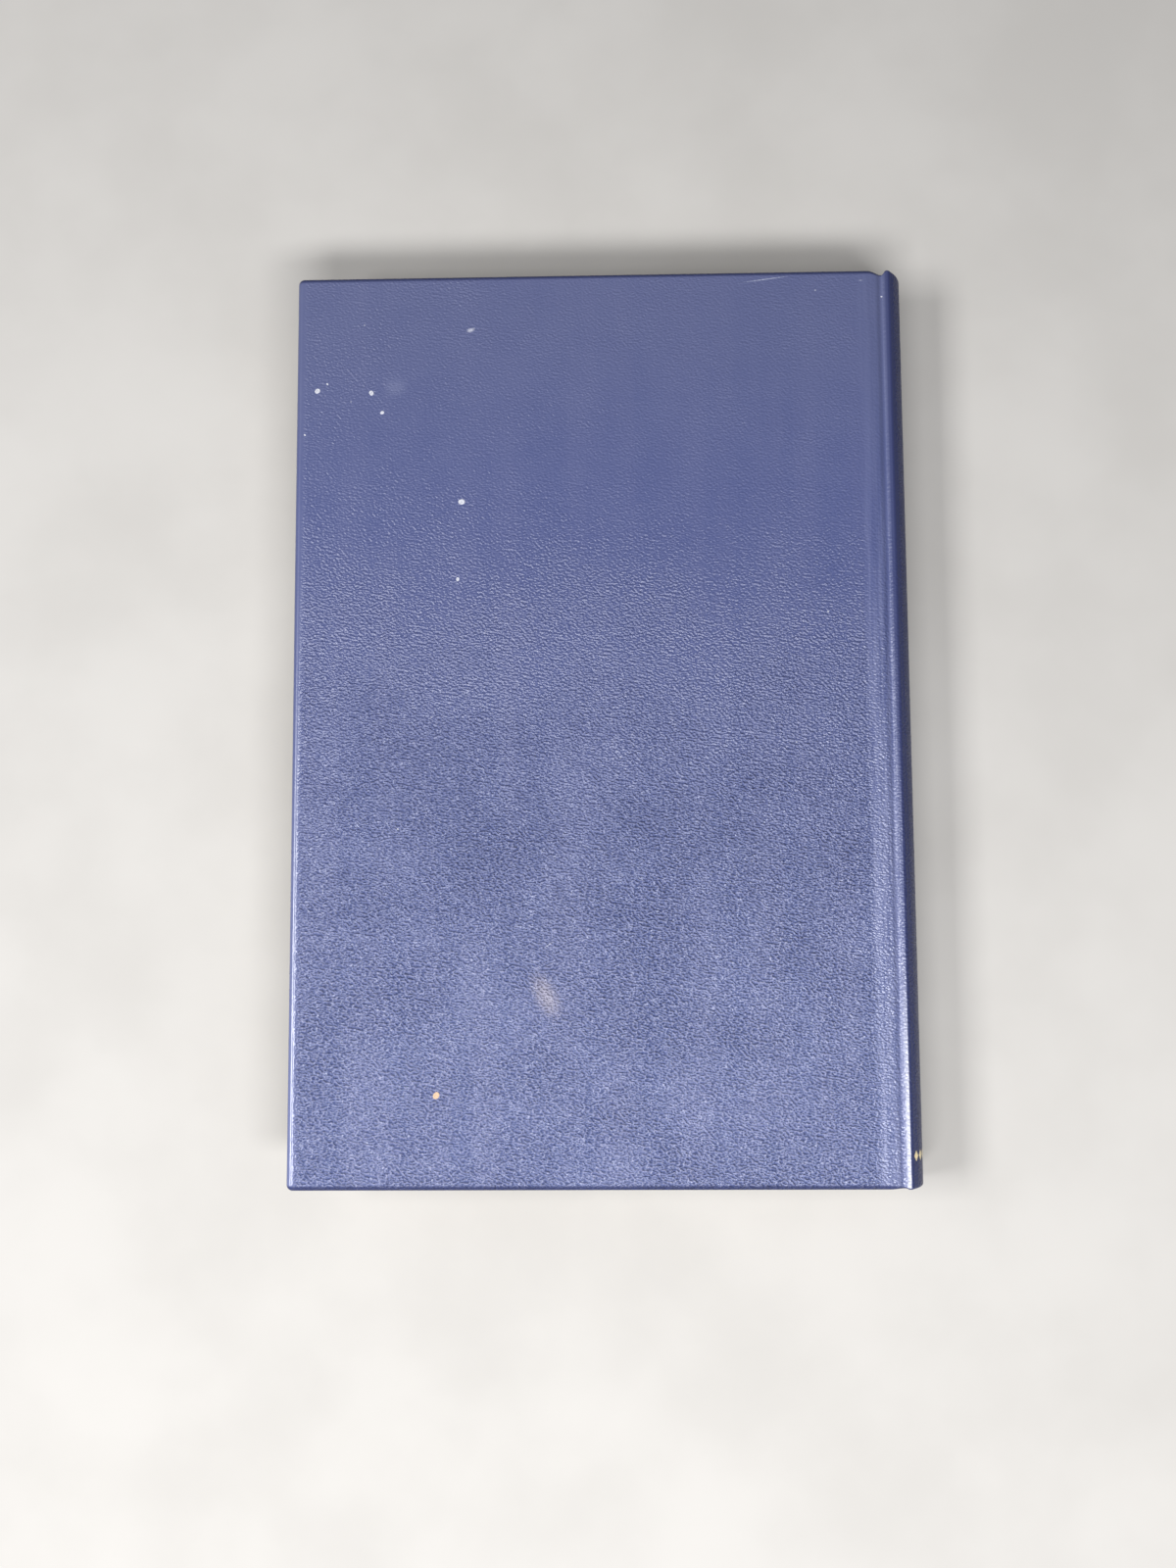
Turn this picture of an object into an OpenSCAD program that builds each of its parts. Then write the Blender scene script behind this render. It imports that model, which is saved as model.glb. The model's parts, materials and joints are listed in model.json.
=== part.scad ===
// Case-bound hardback book, lying on its front cover with its back cover up.
// The spine lies along +X and the head of the book along +Y.
// The book block is rounded and backed, and the case has French grooves.

/* [Book block] */
// Height of the trimmed pages, head to tail
page_h = 216; // [150:1:280]
// Thickness of the pages, pressed together
block_t = 13.4; // [9:0.2:20]
// Depth of the hollow that rounding leaves in the fore-edge
fore_hollow = 2; // [0.5:0.1:3]
// Thickness of one leaf of the endpapers
end_t = 0.15; // [0.1:0.01:0.3]

/* [Case] */
// Width of one greyboard, fore-edge to groove
board_w = 139.5; // [90:0.5:180]
// Thickness of one greyboard
board_t = 2; // [1.2:0.1:3]
// Thickness of the leather-grained covering
cloth_t = 0.45; // [0.3:0.05:0.6]
// Width that the covers stand out past the pages at head, tail and fore-edge
square_w = 3; // [2:0.5:5]
// Width of covering turned in over the inside of the boards
turn_in = 14; // [10:1:20]
// Rounding of the covered edge on the outside of a board
edge_r = 1.3; // [0.8:0.1:1.8]
// Rounding of the covered edge on the inside of a board
inner_r = 0.7; // [0.6:0.1:1]
// Rounding of a cover's corners, seen from above
corner_r = 1.5; // [1:0.1:3]
// Width of the cut between two turn-ins where they meet at a corner
mitre_w = 0.2; // [0.1:0.05:0.4]

/* [Groove and spine] */
// Width of the groove, from the board to the groove's deepest line
groove_w = 3.3; // [2.5:0.1:5]
// Width of the shoulder's flank, from the groove's deepest line to the ridge
flank_w = 2.4; // [1.5:0.1:3]
// Depth of the groove's deepest line below the outer face of the board
groove_drop = 1; // [0.8:0.1:2.5]
// Depth of the ridge's top below the outer face of the board
ridge_drop = 0.55; // [0.2:0.05:1]
// Rounding of the ridge
ridge_r = 1.2; // [1.1:0.05:1.5]
// Length that the rounded spine stands out past the ridge
spine_rise = 4.35; // [3.6:0.05:5.2]
// Thickness of the card that stiffens the spine of the case
card_t = 0.5; // [0.3:0.05:0.8]
// Way round the spine from the ridge to the edge of the card
card_short = 0.35; // [0.2:0.05:1]

/* [Spine linings] */
// Thickness of the open-weave cloth that is glued to the spine
mull_t = 0.2; // [0.15:0.01:0.3]
// Distance that this cloth stops short of the turn-ins at head and tail
mull_short = 1; // [0.5:0.1:10]
// Width of this cloth on the inside of each board
flange_w = 25; // [15:1:35]
// Thickness of the paper lining over it
lining_t = 0.2; // [0.15:0.01:0.4]
// Distance that the paper lining stops short of head and tail
lining_short = 2; // [1:0.5:6]
// Way round the spine from the ridge to the edge of the paper lining
lining_inset = 0.85; // [0.4:0.05:1.5]
// Height of a band's bead above the pages
bead_h = 1.4; // [1:0.1:2]
// Width of a band's bead, across the edge of the pages
bead_w = 1.5; // [1.1:0.1:2.2]

/* [Clearances] */
// Air between the pastedown and the flyleaf of a closed cover
leaf_gap = 0.1; // [0.05:0.05:0.3]
// Gap in the joint between the parts that swing and the parts that stay
swing_gap = 0.2; // [0.1:0.05:0.3]
// Air between the lined spine and the turned-in case
hollow_gap = 0.1; // [0.05:0.05:0.4]
// Film of glue at a curved face
glue_t = 0.02; // [0.01:0.01:0.05]

/* [Hidden] */
$fn = 180;

// Colours as the photograph shows them, and plain ones where it shows nothing
blue = "#7680b4";
grey = "#9a938a";
cream = "#ece6d6";
white = "#f0ecdf";
band_red = "#8e3540";

// Overrun of a cutting shape past what it cuts
over = 1;
// Steps in a quarter turn of a small rounding, and in each half of the groove
round_steps = 6;
groove_steps = 10;

// Levels above the table, and the layers between the pages and a cover's face
case_h = page_h + 2 * square_w;
inner_stack = board_t + 2 * cloth_t + end_t;
case_t = block_t + 2 * (inner_stack + leaf_gap + end_t);
mid_z = case_t / 2;
pages_z = mid_z + block_t / 2;
board_top = case_t - cloth_t;
board_under = board_top - board_t;
turn_z = board_under - cloth_t;
paste_z = turn_z - end_t;

// The joint's layers between the pages and the covering's face: folded endpaper, open-weave cloth, covering
joint_stack = 2 * end_t + mull_t + cloth_t;
groove_z = case_t - groove_drop;

// Places across the book, measured from the fore-edge of the covers
board_end = cloth_t + board_w;
groove_x = board_end + groove_w;
ridge_x = groove_x + flank_w;
ridge_z = case_t - ridge_drop;
hinge_z = ridge_z - ridge_r;
leaf_z = ridge_z - joint_stack;

// The rounded spine is an arc that runs into the two ridges without a corner
half_chord = hinge_z - mid_z;
spine_r = (half_chord ^ 2 + spine_rise ^ 2 - ridge_r ^ 2) / (2 * (spine_rise - ridge_r));
spine_x = ridge_x + spine_rise - spine_r;
spine_end = atan2(half_chord, ridge_x - spine_x);
case_w = spine_x + spine_r;

// Radii of the layers of the spine, from the outside in
card_out = spine_r - cloth_t;
card_in = card_out - card_t;
turned_in = card_in - cloth_t;
lining_out = turned_in - hollow_gap;
lining_in = lining_out - lining_t;
block_r = lining_in - mull_t - glue_t;
// Angles, from the middle of the spine, at which the card and the paper lining end
card_end = spine_end - angle_of(card_short, card_out);
lining_end = spine_end - angle_of(lining_inset, lining_out);

// The fore-edge hollow is an arc through both edges of the pages
fore_r = ((block_t / 2) ^ 2 + fore_hollow ^ 2) / (2 * fore_hollow);
window_y = case_h / 2 - turn_in;
mull_h = 2 * (window_y - mull_short);

function angle_of(way, r) = way / r * 180 / PI;
function arc(centre, r, from, to, steps) =
    [for (i = [0:steps]) let (a = from + (to - from) * i / steps) centre + r * [cos(a), sin(a)]];
function after_first(path) = [for (i = [1:len(path) - 1]) path[i]];
function turned(path) = [for (i = [len(path) - 1:-1:0]) path[i]];
function flipped(path) = [for (p = path) [p.x, case_t - p.y]];
function opposite(path) = [for (p = path) [-p.x, p.y]];

// Soft step from one point to another, level at both ends, moved square to itself by depth
function soft_step(from, to, depth) = [
    for (i = [0:groove_steps]) let (
        u = i / groove_steps,
        way = [to.x - from.x, (to.y - from.y) * 6 * u * (1 - u)],
        point = [from.x + (to.x - from.x) * u, from.y + (to.y - from.y) * u * u * (3 - 2 * u)]
    ) point + depth * [way.y, -way.x] / norm(way)
];

// The covering's outer face, or what lies depth under it: from the board down into the groove
function board_slope(depth) = soft_step([board_end, case_t], [groove_x, groove_z], depth);
// and from the groove up the shoulder's flank and over the ridge
function shoulder(depth) = concat(
    soft_step([groove_x, groove_z], [ridge_x, ridge_z], depth),
    over_ridge(ridge_r - depth)
);
function over_ridge(r) = after_first(arc([ridge_x, hinge_z], r, 90, spine_end, round_steps));

// Face of the pages, backed up into a shoulder under the ridge, or what lies height over it
function leaf_face(height) = concat(
    [[square_w, pages_z + height]],
    soft_step([groove_x, pages_z], [ridge_x, leaf_z], -height),
    over_ridge(ridge_r - joint_stack + height)
);
// Underside of the joint's covering, on its way down to the underside of the board, or depth under it
function joint_under(depth) = soft_step([board_end, board_under], [groove_x, groove_z - cloth_t], depth);

// Puts a profile, drawn across the book, along the spine
module along_spine(length) {
    translate([-case_w / 2, 0, 0])
        rotate([90, 0, 0])
            linear_extrude(length, center = true)
                children();
}

// Sweeps a profile of radius and height round the axis of the spine's arc
module round_spine(end) {
    translate([spine_x - case_w / 2, 0, mid_z])
        rotate([-90, 0, 0])
            rotate([0, 0, -end])
                rotate_extrude(angle = 2 * end)
                    children();
}

// Turns a piece of the back cover into its twin on the front cover
module front_twin() {
    translate([0, 0, case_t])
        mirror([0, 0, 1])
            children();
}

module box(low, high) {
    translate([low.x - case_w / 2, low.y, low.z])
        cube(high - low);
}

// Slice of the spine's layers between two radii, as wide as the angle says
module spine_slice(inner, outer, end) {
    reach = 2 * spine_r;
    intersection() {
        translate([spine_x, mid_z])
            difference() {
                circle(outer);
                circle(inner);
            }
        translate([spine_x, mid_z])
            polygon([[0, 0], reach * [cos(end), -sin(end)], [reach, 0], reach * [cos(end), sin(end)]]);
    }
}

// Everything under a face and above its twin, as far as a radius of the spine
module between(face, radius) {
    edge = concat(face, [[case_w + over, hinge_z]]);
    intersection() {
        polygon(concat(edge, turned(flipped(edge))));
        union() {
            translate([square_w, 0])
                square([spine_x - square_w, case_t]);
            translate([spine_x, mid_z])
                circle(radius);
        }
    }
}

// Part of the joint that stays with the pages
module stays_right() {
    translate([groove_x + swing_gap / 2, -over])
        square([case_w, case_t + 2 * over]);
}

module fore_edge_cut() {
    translate([square_w + fore_hollow - fore_r, mid_z])
        circle(fore_r);
}

// Half of a profile, above the middle of the pages
module upper_half() {
    translate([-over, mid_z])
        square([case_w + 2 * over, case_t]);
}

// All the leaves: rounded spine, hollow fore-edge and shoulders turned out at the joints
module text_block() {
    color(cream)
        along_spine(page_h)
            difference() {
                between(leaf_face(0), block_r);
                fore_edge_cut();
            }
}

// Free leaf of an endpaper, double at the shoulder, where the sheet is folded
module back_flyleaf() {
    color(white)
        along_spine(page_h)
            intersection() {
                difference() {
                    union() {
                        between(leaf_face(end_t), block_r);
                        intersection() {
                            between(leaf_face(2 * end_t), block_r);
                            stays_right();
                        }
                    }
                    between(leaf_face(0), block_r);
                }
                upper_half();
            }
}

// Open-weave cloth over the spine and down the flanks of the shoulders
module mull() {
    color("#d9d2bf")
        along_spine(mull_h)
            intersection() {
                difference() {
                    between(shoulder(cloth_t), block_r + mull_t);
                    between(shoulder(cloth_t + mull_t), block_r + glue_t);
                }
                stays_right();
            }
}

// Paper over the mull and over the tapes of the bands
module spine_lining() {
    color("#b59a6c")
        along_spine(page_h - 2 * lining_short)
            spine_slice(lining_in, lining_out, lining_end);
}

// Worked bead on the edge of the pages, with the tape that holds it to the spine
module head_band() {
    tape_t = mull_t - glue_t;
    tape_h = (page_h - mull_h) / 2 - glue_t;
    half_w = (bead_w + tape_t) / 2;
    color(band_red)
        round_spine(lining_end)
            translate([block_r + tape_t - half_w, page_h / 2])
                polygon(concat(
                    [[half_w - tape_t, 0], [half_w - tape_t, -tape_h], [half_w, -tape_h]],
                    arc([0, bead_h - half_w], half_w, 0, 180, 2 * round_steps),
                    [[-half_w, 0]]
                ));
}

module tail_band() {
    mirror([0, 1, 0])
        head_band();
}

// Card that keeps the case's spine round
module spine_card() {
    color(grey)
        along_spine(case_h - 2 * cloth_t)
            spine_slice(card_in, card_out, card_end);
}

// Covering of the spine, turned in over the card at head and tail
module spine_covering() {
    flank = concat(shoulder(0), turned(shoulder(cloth_t)));
    color(blue) {
        along_spine(case_h) {
            spine_slice(card_out, spine_r, spine_end);
            intersection() {
                union() {
                    polygon(flank);
                    polygon(flipped(flank));
                }
                stays_right();
            }
        }
        for (side = [-1, 1]) {
            translate([0, side * (case_h - cloth_t) / 2, 0])
                along_spine(cloth_t)
                    spine_slice(turned_in, spine_r, card_end);
            translate([0, side * (case_h - turn_in) / 2, 0])
                along_spine(turn_in)
                    spine_slice(turned_in, card_in, card_end);
        }
    }
}

// Edge of a plate, from its underside round to its face
function plate_edge(x, low_z, high_z, low_r, high_r) = concat(
    arc([x + low_r, low_z + low_r], low_r, 270, 180, round_steps),
    arc([x + high_r, high_z - high_r], high_r, 180, 90, round_steps)
);

// Plate as far as far_x, with the rounded fore-edge, head and tail of a board that is covered
module rounded_plate(grow, far_x) {
    near_x = cloth_t - grow;
    half_h = case_h / 2 - near_x;
    low_z = board_under - grow;
    high_z = board_top + grow;
    high_r = edge_r - near_x;
    low_r = inner_r - near_x;
    plan_r = corner_r - near_x;
    tail = plate_edge(-half_h, low_z, high_z, low_r, high_r);
    tail_corner = arc([near_x + plan_r, plan_r - half_h], plan_r, 270, 180, round_steps);
    head_corner = arc([near_x + plan_r, half_h - plan_r], plan_r, 180, 90, round_steps);
    intersection() {
        along_spine(case_h)
            polygon(concat(plate_edge(near_x, low_z, high_z, low_r, high_r),
                           [[far_x, high_z], [far_x, low_z]]));
        translate([-case_w / 2, 0, 0])
            rotate([90, 0, 90])
                linear_extrude(far_x)
                    polygon(concat(tail, turned(opposite(tail))));
        translate([-case_w / 2, 0, 0])
            linear_extrude(case_t + over)
                polygon(concat(tail_corner, head_corner, [[far_x, half_h], [far_x, -half_h]]));
    }
}

// Greyboard
module back_board() {
    color(grey)
        rounded_plate(0, board_end);
}

// Leather-grained covering of one cover, from the groove round its three edges
module back_covering() {
    color(blue) {
        difference() {
            rounded_plate(cloth_t, board_end);
            rounded_plate(0, board_end + over);
            box([turn_in, -window_y, turn_z - over], [board_end + over, window_y, board_under]);
            for (side = [-1, 1])
                translate([turn_in - case_w / 2, side * window_y, turn_z - over])
                    rotate([0, 0, side * 135])
                        translate([-mitre_w, -mitre_w / 2, 0])
                            cube([2 * turn_in, mitre_w, over + cloth_t]);
        }
        along_spine(case_h)
            intersection() {
                polygon(concat(board_slope(0), turned(board_slope(cloth_t))));
                square([groove_x - swing_gap / 2, case_t + over]);
            }
    }
}

// Section of a layer under the joint's covering, on the side that swings with the cover
module joint_layer(top, thickness) {
    intersection() {
        polygon(concat(joint_under(top), turned(joint_under(top + thickness))));
        square([groove_x - swing_gap / 2, case_t]);
    }
}

// Rest of the open-weave cloth, glued to the inside of the board
module back_mull_flange() {
    color("#d9d2bf") {
        box([board_end - flange_w, -mull_h / 2, board_under - mull_t], [board_end, mull_h / 2, board_under]);
        along_spine(mull_h)
            joint_layer(0, mull_t);
    }
}

// Leaf of the endpaper that is pasted to the board, over the turn-ins and the open-weave cloth
module back_pastedown() {
    hollow_x = turn_in + end_t;
    hollow_y = window_y - end_t;
    flange_x = board_end - flange_w;
    under_flange = board_under - mull_t;
    color(white) {
        difference() {
            box([square_w, -page_h / 2, paste_z], [board_end, page_h / 2, board_under]);
            difference() {
                box([0, -case_h, turn_z], [board_end + over, case_h, case_t]);
                box([turn_in, -window_y, 0], [board_end + over, window_y, case_t]);
            }
            box([flange_x, -mull_h / 2, under_flange], [board_end + over, mull_h / 2, case_t]);
            box([hollow_x, -hollow_y, 0], [flange_x - end_t, hollow_y, board_under - end_t]);
            box([hollow_x, -hollow_y, 0], [board_end + over, hollow_y, under_flange - end_t]);
        }
        along_spine(page_h)
            joint_layer(mull_t, end_t);
    }
}

module front_board() {
    front_twin() back_board();
}

module front_covering() {
    front_twin() back_covering();
}

module front_mull_flange() {
    front_twin() back_mull_flange();
}

module front_pastedown() {
    front_twin() back_pastedown();
}

module front_flyleaf() {
    front_twin() back_flyleaf();
}

text_block();
back_flyleaf();
front_flyleaf();
mull();
spine_lining();
head_band();
tail_band();
spine_card();
spine_covering();
back_board();
back_covering();
back_mull_flange();
back_pastedown();
front_board();
front_covering();
front_mull_flange();
front_pastedown();
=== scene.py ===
# %% [markdown]
# # A case-bound book, lying on its front cover
#
# This lesson dresses the solids of a hardback book: a blue leather-grained case, a rounded spine, a
# French groove beside it, and inside the pages, endpapers, cloth and bands. The solids are exact and
# plain. Blender gives them the folds, the cut edges and the finish that make a book look like one.
#
# The lesson goes the way a binder works: first the sizes, then the covering of the case, then the pages
# and what joins them to the case, then the marks of use, and last the light and the camera.

# %% The frame
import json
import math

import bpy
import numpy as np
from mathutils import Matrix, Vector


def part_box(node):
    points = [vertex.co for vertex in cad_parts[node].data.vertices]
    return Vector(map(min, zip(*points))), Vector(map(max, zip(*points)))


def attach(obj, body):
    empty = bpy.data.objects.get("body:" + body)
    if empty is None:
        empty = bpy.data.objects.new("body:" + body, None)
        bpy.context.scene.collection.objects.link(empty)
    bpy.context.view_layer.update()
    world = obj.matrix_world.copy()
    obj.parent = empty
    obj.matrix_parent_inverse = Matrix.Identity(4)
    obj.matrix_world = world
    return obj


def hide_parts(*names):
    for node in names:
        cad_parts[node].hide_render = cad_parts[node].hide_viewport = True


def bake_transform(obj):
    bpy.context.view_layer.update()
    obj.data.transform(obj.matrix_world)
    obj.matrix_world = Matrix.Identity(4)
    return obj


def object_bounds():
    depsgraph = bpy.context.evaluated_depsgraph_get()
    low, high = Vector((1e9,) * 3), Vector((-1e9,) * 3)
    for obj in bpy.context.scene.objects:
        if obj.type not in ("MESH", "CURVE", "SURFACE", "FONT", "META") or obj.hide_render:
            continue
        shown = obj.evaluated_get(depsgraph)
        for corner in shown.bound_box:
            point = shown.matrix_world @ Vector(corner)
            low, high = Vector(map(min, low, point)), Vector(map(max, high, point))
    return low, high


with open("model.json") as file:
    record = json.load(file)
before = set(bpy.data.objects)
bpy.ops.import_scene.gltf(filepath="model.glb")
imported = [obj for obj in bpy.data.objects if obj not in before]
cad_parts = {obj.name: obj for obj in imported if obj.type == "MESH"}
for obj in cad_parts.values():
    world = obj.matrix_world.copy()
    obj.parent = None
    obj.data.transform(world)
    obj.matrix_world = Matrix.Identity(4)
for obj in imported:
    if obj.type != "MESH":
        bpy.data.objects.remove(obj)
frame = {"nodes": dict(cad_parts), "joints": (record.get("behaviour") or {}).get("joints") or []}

# %% [markdown]
# ## Reading the solids
#
# A model that repeats numbers falls apart when one of them changes. Here the sizes of the case, the
# boards and the pages are read from the boxes of the solids. All sizes are in millimetres, and MM turns
# them into Blender's metres.

MM = 0.001
cad_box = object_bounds()


def corners(node):
    """Lowest and highest corner of one solid, in millimetres."""
    low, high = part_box(node)
    return np.array(low) / MM, np.array(high) / MM


case_low, case_high = [np.array(corner) / MM for corner in cad_box]
board_low, board_high = corners("back_board")
flange_low, flange_high = corners("back_mull_flange")
pages_low, pages_high = corners("text_block")
paste_low = corners("back_pastedown")[0]
print("case", np.round(case_high - case_low, 2), "pages", np.round(pages_high - pages_low, 2))

# %% [markdown]
# ## Layers
#
# The two covers mirror each other in the middle of the pages, so the sizes of the back cover serve for
# both. The thickness of a layer is the step between two solids: the covering is the step from the case's
# top to the board's, and so on. Only the card in the spine can't be read that way.

# %% Layers
case_t = case_high[2]
mid_z = case_t / 2
half_case = case_high[1]
half_page = pages_high[1]
fore_x = case_low[0]
board_end = board_high[0]
cloth_t = case_t - board_high[2]
turn_z = board_low[2] - cloth_t
end_t = turn_z - paste_low[2]
mull_t = board_low[2] - flange_low[2]
card_t = 0.5
pages_z = corners("back_flyleaf")[0][2]
joint_stack = 2 * end_t + mull_t + cloth_t
print("covering", round(cloth_t, 2), "endpaper", round(end_t, 2), "mull", round(mull_t, 2))

# %% [markdown]
# ## Ridge, groove and rounded spine
#
# The shoulder of the pages stands up in a ridge on both sides, and the covers hinge along it. The spine
# is an arc that runs into both ridges without a corner, and that fixes its radius: only one circle
# touches the rounding of both ridges and reaches the edge of the case.

# %% Ridge, groove and rounded spine
hinge = next(joint for joint in frame["joints"] if joint["name"] == "back_cover_hinge")
ridge_x = hinge["pos_m"][0] / MM
hinge_z = hinge["pos_m"][2] / MM
ridge_z = corners("spine_covering")[1][2]
ridge_r = ridge_z - hinge_z
leaf_z = ridge_z - joint_stack
groove_z = flange_high[2] + cloth_t
groove_x = (corners("back_covering")[1][0] + corners("spine_covering")[0][0]) / 2

spine_rise = case_high[0] - ridge_x
half_chord = hinge_z - mid_z
spine_r = (half_chord ** 2 + spine_rise ** 2 - ridge_r ** 2) / (2 * (spine_rise - ridge_r))
spine_x = case_high[0] - spine_r
spine_end = math.atan2(half_chord, ridge_x - spine_x)
block_r = pages_high[0] - spine_x
print("spine radius", round(spine_r, 2), "ridge at", round(ridge_x, 2), "groove at", round(groove_x, 2))

# %% [markdown]
# ## Edges of the case
#
# A box can't tell how far the covering is turned in, or how round the corners of the boards are, so these
# two sizes are named here.

# %% Edges of the case
turn_in = 14.0
corner_r = 1.5
print("turn-ins of", turn_in, "mm, corners rounded by", corner_r, "mm")

# %% [markdown]
# ## Making a piece
#
# Every piece below starts as lists of points, worked out by a formula, and faces between them. That is
# more exact than pushing vertices about, and it can be repeated. Where two patches meet, their points
# coincide and the Weld modifier joins them. Solidify gives a sheet its thickness, so only one side of it
# has to be drawn.

# %% Making a piece
weld_reach = 0.002


def new_piece(name, points, faces):
    """Object from points in millimetres, with points that coincide joined into one."""
    mesh = bpy.data.meshes.new(name)
    mesh.from_pydata((np.asarray(points) * MM).tolist(), [], faces)
    piece = bpy.data.objects.new(name, mesh)
    bpy.context.scene.collection.objects.link(piece)
    bpy.context.view_layer.objects.active = piece
    weld = piece.modifiers.new("weld", "WELD")
    weld.merge_threshold = weld_reach * MM
    return apply_modifiers(piece)


def apply_modifiers(piece):
    """Turns what the modifiers show into the piece's own mesh."""
    bpy.context.view_layer.update()
    shown = piece.evaluated_get(bpy.context.evaluated_depsgraph_get())
    mesh = bpy.data.meshes.new_from_object(shown)
    piece.modifiers.clear()
    piece.data = mesh
    mesh.name = piece.name
    return piece


def thicken(piece, thickness):
    """Gives a sheet its thickness, on the side away from its normals."""
    solid = piece.modifiers.new("thickness", "SOLIDIFY")
    solid.thickness = thickness * MM
    solid.offset = -1
    solid.use_quality_normals = True
    return apply_modifiers(piece)


print("points closer than", weld_reach, "mm become one")

# %% [markdown]
# ## Dressing a piece
#
# A piece gets smooth shading, a finish, and a note of where each of its points lies at rest. The note
# matters here, because the covers open: a texture that follows the stored place bends with the covering.

# %% Dressing a piece
def store(piece, name, values):
    """Keeps one number for each point of a piece, for its finish to read."""
    stored = piece.data.attributes.new(name, "FLOAT", "POINT")
    stored.data.foreach_set("value", np.asarray(values, np.float32))


def dress(piece, material, sharp=38):
    """Smooth shading that stops at sharp edges, the stored place of each point, and the finish."""
    mesh = piece.data
    mesh.shade_smooth()
    mesh.set_sharp_from_angle(angle=math.radians(sharp))
    place = np.zeros(len(mesh.vertices) * 3, np.float32)
    mesh.vertices.foreach_get("co", place)
    stored = mesh.attributes.new("rest", "FLOAT_VECTOR", "POINT")
    stored.data.foreach_set("vector", place / MM)
    mesh.materials.clear()
    mesh.materials.append(material)
    triangles = sum(len(face.vertices) - 2 for face in mesh.polygons)
    place = place.reshape(-1, 3) / MM
    low, high = place.min(axis=0).round(2), place.max(axis=0).round(2)
    print(f"{piece.name}: {triangles} triangles, from {low} to {high}")
    return piece

# %% [markdown]
# ## Small helpers for shapes
#
# A sheet is a grid of points, and the front cover is the back cover turned over. A soft step leads one
# stretch of a shape into the next. A few waves laid over each other give an unevenness that is the same
# in every run, because their lengths and directions come from a seed.

# %% Small helpers for shapes
def grid_faces(rows, columns, first=0):
    """Quads between neighbours of a grid whose points run along its columns first."""
    start = first + np.add.outer(np.arange(rows - 1) * columns, np.arange(columns - 1)).ravel()
    return np.stack([start, start + columns, start + columns + 1, start + 1], axis=1).tolist()


def flip_over(points):
    """The same points on the front cover, which mirrors the back cover in the middle of the pages."""
    turned = np.array(points)
    turned[:, 2] = case_t - turned[:, 2]
    return turned


def reverse(faces):
    return [face[::-1] for face in faces]


def smooth(value):
    """Soft step: 0 below 0, 1 above 1, and level at both."""
    share = np.clip(value, 0, 1)
    return share * share * (3 - 2 * share)


def waves(seed, across, count=7, calm=1.6):
    """Gentle uneven field, mostly from -1 to 1, made of a few waves about `across` mm long."""
    random = np.random.default_rng(seed)
    heading = random.uniform(0, math.tau, count)
    number = math.tau / (across * random.uniform(0.6, 1.6, count))
    phase = random.uniform(0, math.tau, count)
    along_x, along_y = np.cos(heading) * number, np.sin(heading) * number

    def field(x, y):
        angles = np.multiply.outer(x, along_x) + np.multiply.outer(y, along_y)
        return np.sin(angles + phase).sum(axis=-1) / count ** 0.5 / calm

    return field


print("a soft step at a quarter, half and three quarters:", smooth(np.array([0.25, 0.5, 0.75])))

# %% [markdown]
# ## The line across the case
#
# Cut a case-bound book across and its covering makes one line: round the spine, over the ridge of the
# shoulder, down into the groove, up the edge of the board and along the board to the fore-edge. The line
# is drawn once, from arcs and soft curves, and the whole covering is swept from it.

# %% The line across the case
def soft_curve(start, end, steps):
    """Points from start to end of a curve that is level at both."""
    u = np.linspace(0, 1, steps + 1)
    x = start[0] + (end[0] - start[0]) * u
    return np.stack([x, start[1] + (end[1] - start[1]) * smooth(u)], axis=1)


def arc(centre, radius, start, end, steps):
    angle = np.linspace(start, end, steps + 1)
    return np.stack([centre[0] + radius * np.cos(angle), centre[1] + radius * np.sin(angle)], axis=1)


def outward(line):
    """Direction out of the case at each point of a line that runs from the spine to the fore-edge."""
    way = np.gradient(line, axis=0)
    way /= np.linalg.norm(way, axis=1)[:, None]
    return np.stack([way[:, 1], -way[:, 0]], axis=1)


spine_part = arc((spine_x, mid_z), spine_r, 0, spine_end, steps=30)
ridge_part = arc((ridge_x, hinge_z), ridge_r, spine_end, math.pi / 2, steps=10)
print("the spine ends at", spine_part[-1].round(2), "and the ridge at", ridge_part[-1].round(2))

# %% [markdown]
# ## The groove
#
# A binder presses the groove with a hot iron, close to the ridge, so its side on the board is long and
# gentle and its side on the ridge is short. The deepest line lies nearer the ridge than the line where
# the solids are split. On the board's side two soft steps are added up, a wide shallow one and a narrow
# deep one.

# %% The groove
iron_shift = 1.0
pressed_x = groove_x + iron_shift
flank_w = 1.0
gentle_drop = 0.5
steep_w = 1.6
board_steps = 68


def board_side(steps):
    """The groove's side on the board: long and gentle, with a short steep end at the deepest line."""
    x = np.linspace(pressed_x, board_end, steps + 1)
    gentle = gentle_drop * smooth((x - board_end) / (pressed_x - board_end))
    steep = (case_t - groove_z - gentle_drop) * smooth((x - pressed_x + steep_w) / steep_w)
    return np.stack([x, case_t - gentle - steep], axis=1)


flank = soft_curve((pressed_x + flank_w, ridge_z), (pressed_x, groove_z), steps=12)
flank_part = np.concatenate([[(ridge_x, ridge_z)], flank])
slope_part = board_side(steps=18)
board_part = np.stack([
    np.linspace(board_end, fore_x + corner_r, board_steps + 1),
    np.full(board_steps + 1, case_t)
], axis=1)
case_line = np.concatenate([spine_part, ridge_part[1:], flank_part[1:], slope_part[1:], board_part[1:]])
case_out = outward(case_line)
case_out[0] = (1, 0)
print("points across the case:", len(case_line), "groove depth", round(case_t - groove_z, 2))

# %% [markdown]
# ## The fold round the edges
#
# At head and tail the covering folds over and runs back inside: over the board, over the card in the
# spine, and against itself in the joint. Each point of the line gets a partner on the inner side, and the
# distance between the two is how thick the folded edge is there.

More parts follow.
